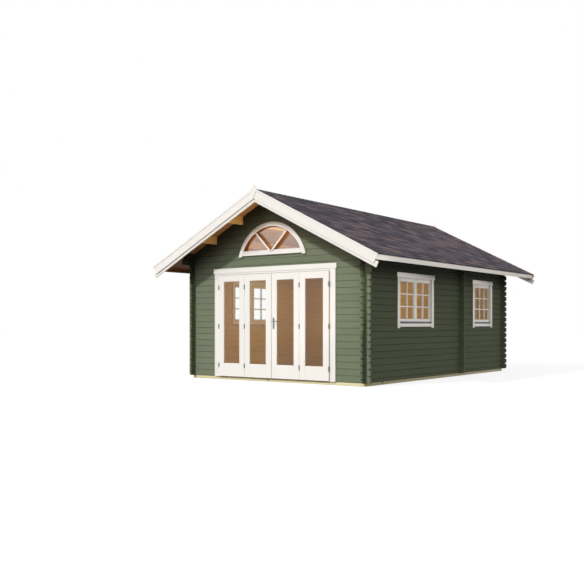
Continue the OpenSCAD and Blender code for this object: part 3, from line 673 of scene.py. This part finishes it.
def ridge_cap():
    """One bent tab, its front end lifted by the tab that it laps."""
    half = cap_high.x
    arc = [math.radians(90) - pitch + 2 * pitch * i / crown_steps for i in range(crown_steps + 1)]
    crown_z = cap_high.z - crown_r / math.cos(pitch)
    bend = [(half, cap_low.z + tab_t)]
    bend += [(crown_r * math.cos(angle), crown_z + crown_r * math.sin(angle)) for angle in arc]
    bend += [(-half, cap_low.z + tab_t)]
    shape = bmesh.new()
    rings = []
    for y, lift in ((0.0, tab_t), (cap_exposure + cap_lap, -cap_tail_drop)):
        rings.append([shape.verts.new((x, y, z + lift)) for x, z in bend])
        rings.append([shape.verts.new((x, y, z + lift + tab_t)) for x, z in bend])
    front_under, front_over, back_under, back_over = rings
    for a, b in ((front_under, front_over), (front_over, back_over), (back_over, back_under),
                 (back_under, front_under)):
        for i in range(len(bend) - 1):
            shape.faces.new((a[i], a[i + 1], b[i + 1], b[i]))
    for i in (0, -1):
        shape.faces.new((front_under[i], front_over[i], back_over[i], back_under[i]))
    return finished("cap_tab", shape)


cap_run = cap_high.y - cap_low.y - cap_exposure - cap_lap
cap_count = round(cap_run / cap_exposure) + 1
cap_step = (0.0, cap_run / (cap_count - 1), 0.0)
caps = grown("ridge_cap_tabs", in_a_row,
             {"Piece": ridge_cap(), "Count": cap_count, "Step": cap_step, "Seed": 23, "Finish": granules})
caps.data.transform(Matrix.Translation((0.0, cap_low.y, 0.0)))
settle(caps, "ridge_cap")

# Bargeboards
# Two layers of planed boards along each gable edge of the roof, painted white, screwed to the purlin ends
# and the roof boards. The outer ones have a raised strip along the top, and the left one runs up to a small
# point at the peak. Painted shade darkens the seams.
trim_white = (0.91, 0.893, 0.868)
trim_gloss = 1.0
trim_ior = 2.85
trim_gloss_tint = (1.0, 0.945, 0.865)
trim_roughness = (0.47, 0.37)
trim_relief = 0.0003
trim_paint_depth = 0.025
film_heights = (0.6, 1.4)
trim_ease = 0.003
# Painted shade in seams and inner corners: how far the occlusion looks, and how dark it gets.
seam_shade_reach = 0.03
seam_open = (0.45, 0.9)
seam_shade_level = 0.25
strip_t = 0.005
screw_r = 0.0045
screw_sides = 12
screw_sunk = 0.0005
screw_rim = 0.0005
screw_crown = 0.0011
recess_half = 0.32 * screw_r
recess_taper = 0.8
recess_floor = 0.0002
peak_screw_x = 0.11
overhang_screw_x = 2.0
eave_screw_in = 0.06
barge_screw_lines = (0.012, 0.098)


def seam_shade_group():
    """How much painted shade the white takes: 1 in the open, less in seams and inner corners, by ambient
    occlusion.
    """
    group, given = node_group("seam_shade", "ShaderNodeTree", {"Reach": "Float"}, {"Level": "Float"})
    open_share = add(group, "ShaderNodeAmbientOcclusion", {"Distance": given["Reach"]}).outputs["AO"]
    add(group, "NodeGroupOutput", {"Level": ramp(group, open_share, *seam_open, seam_shade_level)})
    return group


seam_shade = seam_shade_group()


def painted(name, turn):
    """Satin white paint on planed wood, with painted shade in its seams."""
    made, tree, shader = material(name)
    colour, height, _ = coat(tree, along_fibres(tree, turn), trim_white, trim_paint_depth)
    # Painted shade: ambient occlusion darkens the white in seams and inner corners.
    unshaded = add(tree, "ShaderNodeGroup", {"Reach": seam_shade_reach}, node_tree=seam_shade).outputs["Level"]
    polish = ramp(tree, height, *film_heights, *trim_roughness)
    gloss = {"IOR": trim_ior, "Specular IOR Level": trim_gloss, "Specular Tint": trim_gloss_tint}
    surface(tree, shader, dim(tree, colour, unshaded), polish, height, trim_relief, gloss)
    return made


def fixing_tree():
    """One piece at every point of a mesh."""
    tree, given = node_group("fixings", "GeometryNodeTree",
                             {"Points": "Geometry", "Piece": "Object", "Seed": "Int", "Finish": "Material"},
                             {"Shape": "Geometry"})
    piece = add(tree, "GeometryNodeObjectInfo", {"Object": given["Piece"]}).outputs["Geometry"]
    placed = add(tree, "GeometryNodeInstanceOnPoints", {"Points": given["Points"], "Instance": piece})
    return close_tree(tree, placed.outputs[0], given)


fixings = fixing_tree()


def fixed_at(name, places, piece, finish):
    """One mesh of like fixings at the given places."""
    points = bpy.data.meshes.new(name)
    points.from_pydata(places, [], [])
    return grown(name, fixings, {"Piece": piece, "Seed": 1, "Finish": finish}, points)


def screw_head(facing):
    """A flat countersunk head with a square recess, turned to face one way."""
    shape = bmesh.new()
    turns = [math.tau * i / screw_sides for i in range(screw_sides)]
    rim = [(screw_r * math.cos(turn), screw_r * math.sin(turn)) for turn in turns]
    square = [(recess_half * u, recess_half * v) for u, v in ((1, 1), (-1, 1), (-1, -1), (1, -1))]
    sunk = [shape.verts.new((x, y, -screw_sunk)) for x, y in rim]
    edge = [shape.verts.new((x, y, screw_rim)) for x, y in rim]
    mouth = [shape.verts.new((x, y, screw_crown)) for x, y in square]
    recess = [shape.verts.new((recess_taper * x, recess_taper * y, recess_floor)) for x, y in square]
    for i in range(screw_sides):
        shape.faces.new((sunk[i - 1], sunk[i], edge[i], edge[i - 1]))
    quarter = screw_sides // 4
    for k in range(4):
        first = quarter * k
        last = (first + quarter) % screw_sides
        after = (k + 1) % 4
        for i in range(first, first + quarter):
            shape.faces.new((edge[i], edge[(i + 1) % screw_sides], mouth[k]))
        shape.faces.new((edge[last], mouth[after], mouth[k]))
        shape.faces.new((mouth[k], mouth[after], recess[after], recess[k]))
    shape.faces.new(recess)
    shape.faces.new(sunk)
    shape.transform(Vector(facing).to_track_quat("Z", "Y").to_matrix().to_4x4())
    return finished("screw_head", shape)


def screws(name, places, facing, finish):
    """Screw heads at the given places of a face."""
    settle(fixed_at(name, places, screw_head(facing), finish))


right_slope_white = painted("white_down_right", (0.0, -pitch, 0.0))
left_slope_white = painted("white_down_left", (0.0, pitch, 0.0))


def bargeboards(name, node):
    """One layer of one gable, with the grain of each board along its own slope."""
    boards = eased(name, node, right_slope_white, trim_ease)
    boards.data.materials.append(left_slope_white)
    for face in boards.data.polygons:
        face.material_index = 1 if face.center.x < 0.0 else 0


def barge_screws(name, y, facing):
    """Pairs of screws through the outer boards into each purlin and near the eave."""
    half_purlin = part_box("ridge_purlin")[1].x
    upper_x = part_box("upper_purlins")[1].x - half_purlin
    lower_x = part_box("lower_purlins")[1].x - half_purlin
    eave_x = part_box("eave_fascias")[1].x - eave_screw_in
    places = []
    for x in (peak_screw_x, upper_x, lower_x, overhang_screw_x, eave_x):
        for below in barge_screw_lines:
            z = roof_peak - x * math.tan(pitch) - below
            places += [(-x, y, z), (x, y, z)]
    screws(name, places, (0, facing, 0), right_slope_white)


for gable, facing in (("front", -1), ("back", 1)):
    bargeboards(gable + "_outer_boards", gable + "_bargeboards")
    bargeboards(gable + "_inner_boards", gable + "_inner_bargeboards")
    near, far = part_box(gable + "_bargeboards")
    board_face = near.y + strip_t if facing < 0 else far.y - strip_t
    barge_screws(gable + "_board_screws", board_face, facing)

# Eave fascias
# Planed boards nailed to the ends of the roof boards along both eaves, painted white outside and below.
# Their backs, which face the soffit, are bare.
white_along_x = painted("white_along_x", ALONG_X)
white_along_y = painted("white_along_y", ALONG_Y)
white_upright = painted("white_upright", ALONG_Z)
fascia = eased("eave_boards", "eave_fascias", white_along_y, trim_ease)
fascia.data.materials.append(wood("fascia_back", soffit_pale, soffit_dark, ALONG_Y))
for face in fascia.data.polygons:
    face.material_index = 1 if face.normal.x * face.center.x < -0.9 * abs(face.center.x) else 0

# Door frame, casing and threshold
# A white-painted frame is set into the log opening. Flat casing boards cover the joint, the head board on
# top a little wider and thicker, screwed through at even distances. A thin oiled threshold lies on the sill.
threshold_pale = (0.36, 0.19, 0.085)
threshold_dark = (0.25, 0.12, 0.05)
threshold_ease = 0.001
frame_ease = 0.002
head_foot = 1.999
head_proud = 0.006
head_reach = 0.024
leaf_gap = 0.003
jamb_screws = 5
jamb_screw_foot = 0.2
jamb_screw_step = 0.42
head_screws = 7
head_screw_step = 0.45
head_screw_z = 2.085
eased("door_frame_planed", "door_frame", white_upright, frame_ease)
door_casing = eased("door_casing_boards", "door_casing", white_upright, trim_ease)
door_casing.data.materials.append(white_along_x)
for face in door_casing.data.polygons:
    face.material_index = 1 if face.center.z > head_foot else 0
threshold_wood = wood("threshold_wood", threshold_pale, threshold_dark, ALONG_X, roughness=0.4)
eased("threshold_oiled", "door_threshold", threshold_wood, threshold_ease)
leaf_low, leaf_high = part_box("door_leaf_1")
casing_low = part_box("door_casing")[0]
casing_face = casing_low.y + head_proud
casing_mid = (leaf_low.x - leaf_gap + casing_low.x + head_reach) / 2
door_screws = []
for i in range(jamb_screws):
    z = jamb_screw_foot + jamb_screw_step * i
    door_screws += [(casing_mid, casing_face, z), (-casing_mid, casing_face, z)]
for i in range(head_screws):
    x = (i - (head_screws - 1) / 2) * head_screw_step
    door_screws.append((x, casing_low.y, head_screw_z))
screws("door_casing_screws", door_screws, (0, -1, 0), white_upright)

# Door leaves
# Four white-painted leaves, each of two stiles and two rails glued up with mortise and tenon, so that fine
# lines show at the joints. Mitred beads hold the glass. A cover strip on the second leaf closes the middle
# joint.
stile_w = 0.117
top_rail_h = 0.113
bottom_rail_h = 0.240
cover_w = 0.046
cover_ease = 0.004
joint_ease = 0.0015
bead_w = 0.011
bead_t = 0.012
bead_profile = [(0.0, 0.0), (bead_w, 0.0), (bead_w, 0.35 * bead_t), (0.7 * bead_w, 0.8 * bead_t),
                (0.3 * bead_w, bead_t), (0.0, bead_t)]
glass_t = 0.006
leaf_w = leaf_high.x - leaf_low.x
leaf_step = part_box("door_leaf_4")[1].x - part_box("door_leaf_3")[1].x
pane_y = sum(corner.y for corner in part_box("door_glass")) / 2


def merge(shape, part):
    """Adds a part, rounded in a bmesh of its own so that its faces keep one order in every run."""
    mesh = bpy.data.meshes.new("part")
    part.to_mesh(mesh)
    part.free()
    shape.from_mesh(mesh)
    bpy.data.meshes.remove(mesh)


def plank(shape, low, high, ease, finish=0):
    """Adds a board between two corners, its edges rounded."""
    low = Vector(low)
    size = Vector(high) - low
    middle = Matrix.Translation(low + size / 2) @ Matrix.Diagonal((*size, 1.0))
    part = bmesh.new()
    bmesh.ops.create_cube(part, size=1.0, matrix=middle)
    bmesh.ops.bevel(part, geom=part.edges[:], offset=ease, segments=ease_steps, profile=0.5, affect="EDGES")
    for face in part.faces:
        face.material_index = finish
    merge(shape, part)


def mitred_bead(shape, place, low, high, profile):
    """Adds a moulding inside a rectangle; its profile is drawn inwards and out of the plane."""
    corners = ((low[0], low[1], 1, 1), (high[0], low[1], -1, 1), (high[0], high[1], -1, -1),
               (low[0], high[1], 1, -1))
    rings = [[shape.verts.new(place(u + su * a, v + sv * a, d)) for a, d in profile]
             for u, v, su, sv in corners]
    for c in range(4):
        for k in range(len(profile)):
            shape.faces.new((rings[c - 1][k - 1], rings[c - 1][k], rings[c][k], rings[c][k - 1]))


for number in range(1, 5):
    x0 = leaf_low.x + (number - 1) * leaf_step
    x1 = x0 + leaf_w
    low = (x0 + stile_w, leaf_low.z + bottom_rail_h)
    high = (x1 - stile_w, leaf_high.z - top_rail_h)
    shape = bmesh.new()
    for left in (x0, high[0]):
        plank(shape, (left, leaf_low.y, leaf_low.z), (left + stile_w, leaf_high.y, leaf_high.z), joint_ease)
    for foot, top in ((leaf_low.z, low[1]), (high[1], leaf_high.z)):
        plank(shape, (low[0], leaf_low.y, foot), (high[0], leaf_high.y, top), joint_ease, 1)
    for out in (-1, 1):
        face_y = pane_y + out * glass_t / 2
        mitred_bead(shape, lambda u, v, d: (u, face_y + out * d, v), low, high, bead_profile)
    if number == 2:
        strip_low, strip_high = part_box("door_leaf_2")
        plank(shape, (strip_high.x - cover_w, strip_low.y, strip_low.z),
              (strip_high.x, leaf_low.y, strip_high.z), cover_ease)
    leaf = finished(f"folding_leaf_{number}", shape, white_upright, white_along_x)
    settle(leaf, f"door_leaf_{number}")

# Glass of the door
# Clear sealed panes of float glass, one in each leaf, held in its groove by the beads and filmed with a
# little dust.
door_pane_ior = 1.42
glass_tint = (0.97, 0.985, 0.98)
glass_shadow = (0.95, 0.97, 0.96)
dust_noise = 3.0
dust_range = (0.35, 0.8)
dust_roughness = 0.03


def glass(name, ior):
    """Clear glass that lets lamp light through, with a faint film of dust."""
    made, tree, shader = material(name)
    dust = noise(tree, own_place(tree), dust_noise, 6.0)
    feed(shader.inputs["Base Color"], glass_tint)
    feed(shader.inputs["Roughness"], ramp(tree, dust, *dust_range, 0.0, dust_roughness))
    shader.inputs["IOR"].default_value = ior
    shader.inputs["Transmission Weight"].default_value = 1.0
    clear = add(tree, "ShaderNodeBsdfTransparent", {"Color": glass_shadow})
    shadow = add(tree, "ShaderNodeLightPath").outputs["Is Shadow Ray"]
    pane = add(tree, "ShaderNodeMixShader", {0: shadow, 1: shader.outputs[0], 2: clear.outputs[0]})
    feed(tree.nodes["Material Output"].inputs["Surface"], pane.outputs[0])
    return made


dress("door_glass", glass("door_panes", door_pane_ior))

# Hinges
# Steel surface hinges, three to each joint, screwed on: narrow plates and a barrel of five knuckles. At the
# jambs only the plate on the leaf shows.
hinge_grey = (0.24, 0.24, 0.245)
hinge_plate_w = 0.010
hinge_plate_t = 0.002
hinge_h = 0.085
hinge_heights = (0.277, 1.020, 1.763)
hinge_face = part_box("door_hinges")[1].y
barrel_r = 0.007
barrel_sides = 16
knuckles = 5
knuckle_gap = 0.0003
hinge_ease = 0.0006
brush_lines = (900.0, 900.0, 30.0)
metal_mottle = 14.0
metal_dark = 0.72
metal_swing = (0.1, -0.05)
metal_relief = 0.0001


def metal(name, colour, roughness, brushed):
    """Metal with fine brush lines along Z and a slight change of tone."""
    made, tree, shader = material(name)
    place = own_place(tree)
    lines = stretched_noise(tree, place, brush_lines, 2.0)
    mark = ramp(tree, mixed(tree, brushed, lines, noise(tree, place, metal_mottle, 3.0)), *noise_range)
    darker = tuple(metal_dark * part for part in colour)
    polish = between(tree, mark, *(roughness + swing for swing in metal_swing))
    surface(tree, shader, tint(tree, mark, darker, colour), polish, lines, metal_relief, {"Metallic": 1.0})
    return made


def knuckle(shape, low, high):
    """Adds one knuckle of a barrel, its ends slightly rounded."""
    middle = Matrix.Translation((0.0, -barrel_r, (low + high) / 2))
    part = bmesh.new()
    bmesh.ops.create_cone(part, cap_ends=True, segments=barrel_sides, radius1=barrel_r, radius2=barrel_r,
                          depth=high - low, matrix=middle)
    rims = [edge for edge in part.edges if abs(edge.verts[0].co.z - edge.verts[1].co.z) < weld]
    bmesh.ops.bevel(part, geom=rims, offset=hinge_ease, segments=1, affect="EDGES")
    merge(shape, part)


def hinge(sides):
    """One hinge about the origin, with a plate on each given side that lies on the plane y = 0."""
    shape = bmesh.new()
    for side in sides:
        inner, outer = sorted((0.0, side * hinge_plate_w))
        plank(shape, (inner, -hinge_plate_t, -hinge_h / 2), (outer, 0.0, hinge_h / 2), hinge_ease)
    length = hinge_h / knuckles
    for k in range(knuckles):
        low = -hinge_h / 2 + k * length
        knuckle(shape, low + knuckle_gap, low + length - knuckle_gap)
    return finished("hinge", shape)


def hinge_rows(name, columns, sides):
    """Hinges at the three heights of the given joints, counted from the middle of the door."""
    places = [(column * leaf_step, hinge_face, z) for column in columns for z in hinge_heights]
    return fixed_at(name, places, hinge(sides), hinge_steel)


hinge_steel = metal("hinge_steel", hinge_grey, roughness=0.42, brushed=0.5)
hinges = join("leaf_hinges", [hinge_rows("leaf_joint_hinges", (-1, 1), (-1, 1)),
                              hinge_rows("left_jamb_hinges", (-2,), (1,)),
                              hinge_rows("right_jamb_hinges", (2,), (-1,))])
settle(hinges, "door_hinges")

# Handle
# A brushed steel lever on a long plate, screwed to the middle stile of the third leaf, with a lock cylinder
# below: a round plug over a narrower rounded body, both a little out of the plate.
handle_grey = (0.34, 0.34, 0.345)
handle_ease = 0.0012
plate_t = 0.007
plate_screw_reach = 0.09
plug_r = 0.0085
plug_front_r = 0.0081
plug_sides = 24
plug_t = 0.003
plug_drop = 0.035
plug_set = 0.001
body_half_w = 0.005
body_top_drop = 0.04
body_foot_drop = 0.06
body_proud = 0.0025
body_sunk = 0.001
body_ease = 0.0008
keyway_half_w = 0.0006
keyway_half_h = 0.0045
keyway_proud = 0.0029
keyway_sunk = 0.002
keyway_ease = 0.0002
handle_low, handle_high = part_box("door_handle")
plate_x = (leaf_gap + stile_w) / 2
plate_z = (handle_low.z + handle_high.z) / 2
plate_face = handle_high.y - plate_t
plug_z = plate_z - plug_drop
handle_steel = metal("handle_steel", handle_grey, roughness=0.32, brushed=0.7)
eased("lever_handle", "door_handle", handle_steel, handle_ease)
shape = bmesh.new()
plug_place = Matrix.Translation((plate_x, plate_face - plug_set, plug_z))
plug_place @= Matrix.Rotation(math.pi / 2, 4, "X")
bmesh.ops.create_cone(shape, cap_ends=True, segments=plug_sides, radius1=plug_r, radius2=plug_front_r,
                      depth=plug_t, matrix=plug_place)
plank(shape, (plate_x - body_half_w, plate_face - body_proud, plate_z - body_foot_drop),
      (plate_x + body_half_w, plate_face + body_sunk, plate_z - body_top_drop), body_ease)
plank(shape, (plate_x - keyway_half_w, plate_face - keyway_proud, plug_z - keyway_half_h),
      (plate_x + keyway_half_w, plate_face - keyway_sunk, plug_z + keyway_half_h), keyway_ease)
settle(finished("lock_cylinder", shape, hinge_steel))
plate_ends = [(plate_x, plate_face, plate_z + side * plate_screw_reach) for side in (-1, 1)]
screws("plate_screws", plate_ends, (0, -1, 0), handle_steel)

# Arched window
# A bent frame of oiled pine in the gable holds the glass. A white arched casing with a bare inner edge, two
# feet and a bottom board covers its edge. Two deep spokes, white in front and bare at the sides, stand in
# a V before the glass.
arch_pale = (0.55, 0.21, 0.06)
arch_dark = (0.40, 0.13, 0.03)
arch_pane_ior = 1.9
arch_r = 0.709
casing_inner_r = 0.725
glass_in = 0.010
spoke_w = 0.032
spoke_lean = math.radians(43.8)
spoke_proud = 0.010
spoke_seat = 0.001
spoke_tip_drop = 0.031
spoke_foot_drop = 0.020
glass_low, glass_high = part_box("arch_window_glass")
arch_mid = Vector((0.0, glass_high.z - arch_r - glass_in))
arch_pine = wood("arch_pine", arch_pale, arch_dark, ALONG_X)
spoke_pine = wood("spoke_pine", arch_pale, arch_dark, ALONG_Z)
eased("arch_frame", "arch_window_frame", arch_pine, frame_ease)
arch_casing = eased("arch_casing", "arch_window_casing", white_along_x, trim_ease)
arch_casing.data.materials.append(spoke_pine)
for face in arch_casing.data.polygons:
    outwards = Vector((face.center.x, 0.0, face.center.z - arch_mid.y))
    inner_edge = outwards.length < casing_inner_r and face.normal.dot(outwards) < -0.5
    face.material_index = 1 if inner_edge else 0
dress("arch_window_glass", glass("arch_pane", arch_pane_ior))


def spoke(side):
    """The four corners of one spoke's face, from the bottom board up to the arch."""
    lean = Vector((side * math.sin(spoke_lean), math.cos(spoke_lean)))
    across = Vector((lean.y, -lean.x)) * spoke_w / 2
    start = Vector((0.0, glass_low.z - spoke_tip_drop))
    foot_z = glass_low.z - spoke_foot_drop
    corners = []
    for edge in (across, -across):
        point = start + edge
        away = point - arch_mid
        reach = -away.dot(lean) + math.sqrt(away.dot(lean) ** 2 - away.length_squared + arch_r ** 2)
        foot = point + lean * max(0.0, (foot_z - point.y) / lean.y)
        corners.append((foot, point + lean * reach))
    return corners[0][0], corners[0][1], corners[1][1], corners[1][0]


spoke_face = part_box("arch_window_casing")[0].y - spoke_proud
spoke_run = (0.0, glass_low.y + spoke_seat - spoke_face, 0.0)
for side, name in ((-1, "left_spoke"), (1, "right_spoke")):
    outline = [(corner.x, spoke_face, corner.y) for corner in spoke(side)]
    bar = prism(name, outline, spoke_run, spoke_pine, white_upright)
    for face in bar.data.polygons:
        face.material_index = 1 if face.normal.y < -0.9 else 0
    settle(bar)

# Side windows
# White casements in a white frame: a double window to the front room and a single one to the rear, in both
# long walls. Glazing bars part each sash into small panes. Flat casing boards with feet, a wider head board
# and a sill board are screwed on round them, and a grey metal drip rail lies under each sash.
double_window = {"middle": -1.176, "clear": 1.246, "sashes": 2, "columns": 2}
single_window = {"middle": 1.848, "clear": 0.840, "sashes": 1, "columns": 3}
pane_rows = 3
sash_gap = 0.003
sash_stile = 0.048
sash_bottom = 0.045
sash_top = 0.055
sash_bead_w = 0.008
sash_bead_t = 0.008
sash_bead = [(0.0, 0.0), (sash_bead_w, 0.0), (sash_bead_w, 0.003), (0.4 * sash_bead_w, sash_bead_t),
             (0.0, sash_bead_t)]
bar_w = 0.022
bar_in = 0.012
bar_set = 0.002
bar_step = 0.0005
bar_ease = 0.003
window_casing_w = 0.086
casing_screw_heights = (1.06, 1.34, 1.62, 1.87)
drip_grey = (0.12, 0.145, 0.175)
drip_ease = 0.0015
window_pane_ior = 1.15
grey_metal = metal("grey_metal", drip_grey, roughness=0.38, brushed=0.2)
window_glass = glass("window_panes", window_pane_ior)


def sash(shape, side, y0, y1, columns):
    """Adds one sash from y0 to y1: stiles, rails, beads and glazing bars."""
    low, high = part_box(side + "_window_sashes")
    pane_x = sum(corner.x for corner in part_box(side + "_window_glass")) / 2
    inner_low = (y0 + sash_stile, low.z + sash_bottom)
    inner_high = (y1 - sash_stile, high.z - sash_top)
    for start in (y0, inner_high[0]):
        plank(shape, (low.x, start, low.z), (high.x, start + sash_stile, high.z), joint_ease)
    for foot, top in ((low.z, inner_low[1]), (inner_high[1], high.z)):
        plank(shape, (low.x, inner_low[0], foot), (high.x, inner_high[0], top), joint_ease, 1)
    for out in (-1, 1):
        face_x = pane_x + out * glass_t / 2
        mitred_bead(shape, lambda u, v, d: (face_x + out * d, u, v), inner_low, inner_high, sash_bead)
    near, far = pane_x - bar_in, high.x - bar_set
    if pane_x < 0.0:
        near, far = low.x + bar_set, pane_x + bar_in
    for column in range(1, columns):
        y = inner_low[0] + (inner_high[0] - inner_low[0]) * column / columns
        plank(shape, (near, y - bar_w / 2, inner_low[1]), (far, y + bar_w / 2, inner_high[1]), bar_ease)
    for row in range(1, pane_rows):
        z = inner_low[1] + (inner_high[1] - inner_low[1]) * row / pane_rows
        plank(shape, (near + bar_step, inner_low[0], z - bar_w / 2),
              (far - bar_step, inner_high[0], z + bar_w / 2), bar_ease, 1)


for side, out in (("right", 1), ("left", -1)):
    eased(side + "_frames_planed", side + "_window_frames", white_upright, frame_ease)
    eased(side + "_casing_boards", side + "_window_casings", white_upright, trim_ease)
    eased(side + "_drip_rails", side + "_window_drips", grey_metal, drip_ease)
    dress(side + "_window_glass", window_glass)
    board_low, board_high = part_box(side + "_window_casings")
    board_face = board_high.x - head_proud if out > 0 else board_low.x + head_proud
    shape = bmesh.new()
    casing_screws = []
    for window in (double_window, single_window):
        first = window["middle"] - window["clear"] / 2 + sash_gap
        step = (window["clear"] - sash_gap) / window["sashes"]
        for i in range(window["sashes"]):
            start = first + i * step
            sash(shape, side, start, start + step - sash_gap, window["columns"])
        board_mid = (window["clear"] + window_casing_w) / 2
        for y in (window["middle"] - board_mid, window["middle"] + board_mid):
            casing_screws += [(board_face, y, z) for z in casing_screw_heights]
    sashes = finished(side + "_casement_sashes", shape, white_upright, white_along_y)
    settle(sashes, side + "_window_sashes")
    screws(side + "_casing_screws", casing_screws, (out, 0, 0), white_upright)

# Studio
# A pale floor and plain daylight: a sun from the front left, high enough to reach under the overhang, a
# wide soft sky beside it, an even sky all round and a weak lamp under the front eave. Camera, glossy and
# transmission rays see white all round, and the floor keeps a faint shadow.
sun = {"direction": (0.329, 1.0, -0.769), "strength": 2.05, "angle": math.radians(4),
       "colour": (1.0, 0.985, 0.965)}
soft_sky = {"direction": (0.3, 1.0, -0.5), "strength": 0.65, "angle": math.radians(75),
            "colour": (1.0, 0.99, 0.98)}
sky_strength = 0.5
sky_colour = (1.0, 0.99, 0.975)
white = (1.0, 1.0, 1.0)
floor_bounce = (0.05, 0.049, 0.047)
floor_own_light = 0.84
floor_shadow_share = 0.24
floor_half = 60.0
eave_lamp_size = (3.0, 0.5)
eave_lamp_power = 8.0
eave_lamp_colour = (1.0, 0.93, 0.82)
eave_lamp_spread = math.radians(60)
eave_lamp_tilt = math.radians(25)
eave_lamp_place = (1.6, -3.3, 0.75)


def seen_directly(tree):
    """1 for camera, glossy and transmission rays."""
    path = add(tree, "ShaderNodeLightPath").outputs
    seen = calc(tree, "MAXIMUM", path["Is Camera Ray"], path["Is Glossy Ray"])
    return calc(tree, "MAXIMUM", seen, path["Is Transmission Ray"])


world = bpy.data.worlds.new("daylight")
scene.world = world
world.use_nodes = True
sky = world.node_tree
sky.nodes.clear()
lit = add(sky, "ShaderNodeBackground", {"Color": sky_colour, "Strength": sky_strength})
bright = add(sky, "ShaderNodeBackground", {"Color": white, "Strength": 1.0})
both = add(sky, "ShaderNodeMixShader", {0: seen_directly(sky), 1: lit.outputs[0], 2: bright.outputs[0]})
add(sky, "ShaderNodeOutputWorld", {"Surface": both.outputs[0]})

floor_finish, tree, shader = material("studio_floor")
tree.nodes.remove(shader)
bounce = add(tree, "ShaderNodeBsdfDiffuse", {"Color": floor_bounce})
own = add(tree, "ShaderNodeEmission", {"Color": white, "Strength": floor_own_light})
shadowed = add(tree, "ShaderNodeBsdfDiffuse", {"Color": (floor_shadow_share,) * 3})
pale = add(tree, "ShaderNodeAddShader", {0: own.outputs[0], 1: shadowed.outputs[0]})
seen = add(tree, "ShaderNodeMixShader", {0: seen_directly(tree), 1: bounce.outputs[0], 2: pale.outputs[0]})
feed(tree.nodes["Material Output"].inputs["Surface"], seen.outputs[0])
ground = bmesh.new()
bmesh.ops.create_grid(ground, x_segments=1, y_segments=1, size=floor_half)
as_object("studio_floor", ground, floor_finish)


def sun_lamp(name, direction, strength, angle, colour):
    """A sun that shines along a direction, as wide in the sky as the angle, and isn't mirrored."""
    made = bpy.data.objects.new(name, bpy.data.lights.new(name, "SUN"))
    made.data.energy = strength
    made.data.angle = angle
    made.data.color = colour
    made.rotation_euler = Vector(direction).to_track_quat("-Z", "Y").to_euler()
    made.visible_glossy = False
    scene.collection.objects.link(made)


def area_lamp(name, size, power, colour, place, turn=(0.0, 0.0, 0.0)):
    """A flat lamp that only lights: no ray shows the lamp itself."""
    made = bpy.data.objects.new(name, bpy.data.lights.new(name, "AREA"))
    made.data.shape = "RECTANGLE"
    made.data.size, made.data.size_y = size
    made.data.energy = power
    made.data.color = colour
    made.location = place
    made.rotation_euler = turn
    made.visible_camera = False
    made.visible_glossy = False
    made.visible_transmission = False
    scene.collection.objects.link(made)
    return made


sun_lamp("sun", **sun)
sun_lamp("soft_sky", **soft_sky)
eave_lamp = area_lamp("eave_lamp", eave_lamp_size, eave_lamp_power, eave_lamp_colour, eave_lamp_place,
                      (0.0, math.pi - eave_lamp_tilt, 0.0))
eave_lamp.data.spread = eave_lamp_spread

# Room lamps
# One soft warm lamp under the ridge of each room, so that the bare wood inside shows through the panes, and
# a cooler one in the front room that is turned up to the ceiling behind the arched window.
room_lamp_power = 24.0
room_lamp_colour = (1.0, 0.88, 0.42)
room_lamp_share = 0.6
room_lamp_z = 2.45
ceiling_lamp_size = (1.4, 2.4)
ceiling_lamp_power = 18.0
ceiling_lamp_colour = (0.82, 0.95, 1.0)
ceiling_lamp_y = -1.6
for name, start, end in (("front_room_lamp", floor_low.y, inner_wall_low.y),
                         ("rear_room_lamp", inner_wall_high.y, floor_high.y)):
    area_lamp(name, (floor_high.x, room_lamp_share * (end - start)), room_lamp_power, room_lamp_colour,
              (0.0, (start + end) / 2, room_lamp_z))
area_lamp("ceiling_lamp", ceiling_lamp_size, ceiling_lamp_power, ceiling_lamp_colour,
          (0.0, ceiling_lamp_y, room_lamp_z), (math.pi, 0.0, 0.0))

# Camera
# It stands to the right of the front gable, a little over a metre above the ground, and looks level, with a
# small shift in place of a tilt, so that upright edges stay upright.
camera = bpy.data.objects.new("camera", bpy.data.cameras.new("camera"))
camera.location = (9.218, -14.721, 1.057)
camera.rotation_euler = (math.pi / 2, 0.0, math.radians(36.73))
camera.data.lens = 50.0
camera.data.sensor_width = 36.0
camera.data.shift_y = 0.0555
camera.data.clip_end = 300.0
scene.collection.objects.link(camera)
scene.camera = camera
scene.view_settings.view_transform = "Standard"
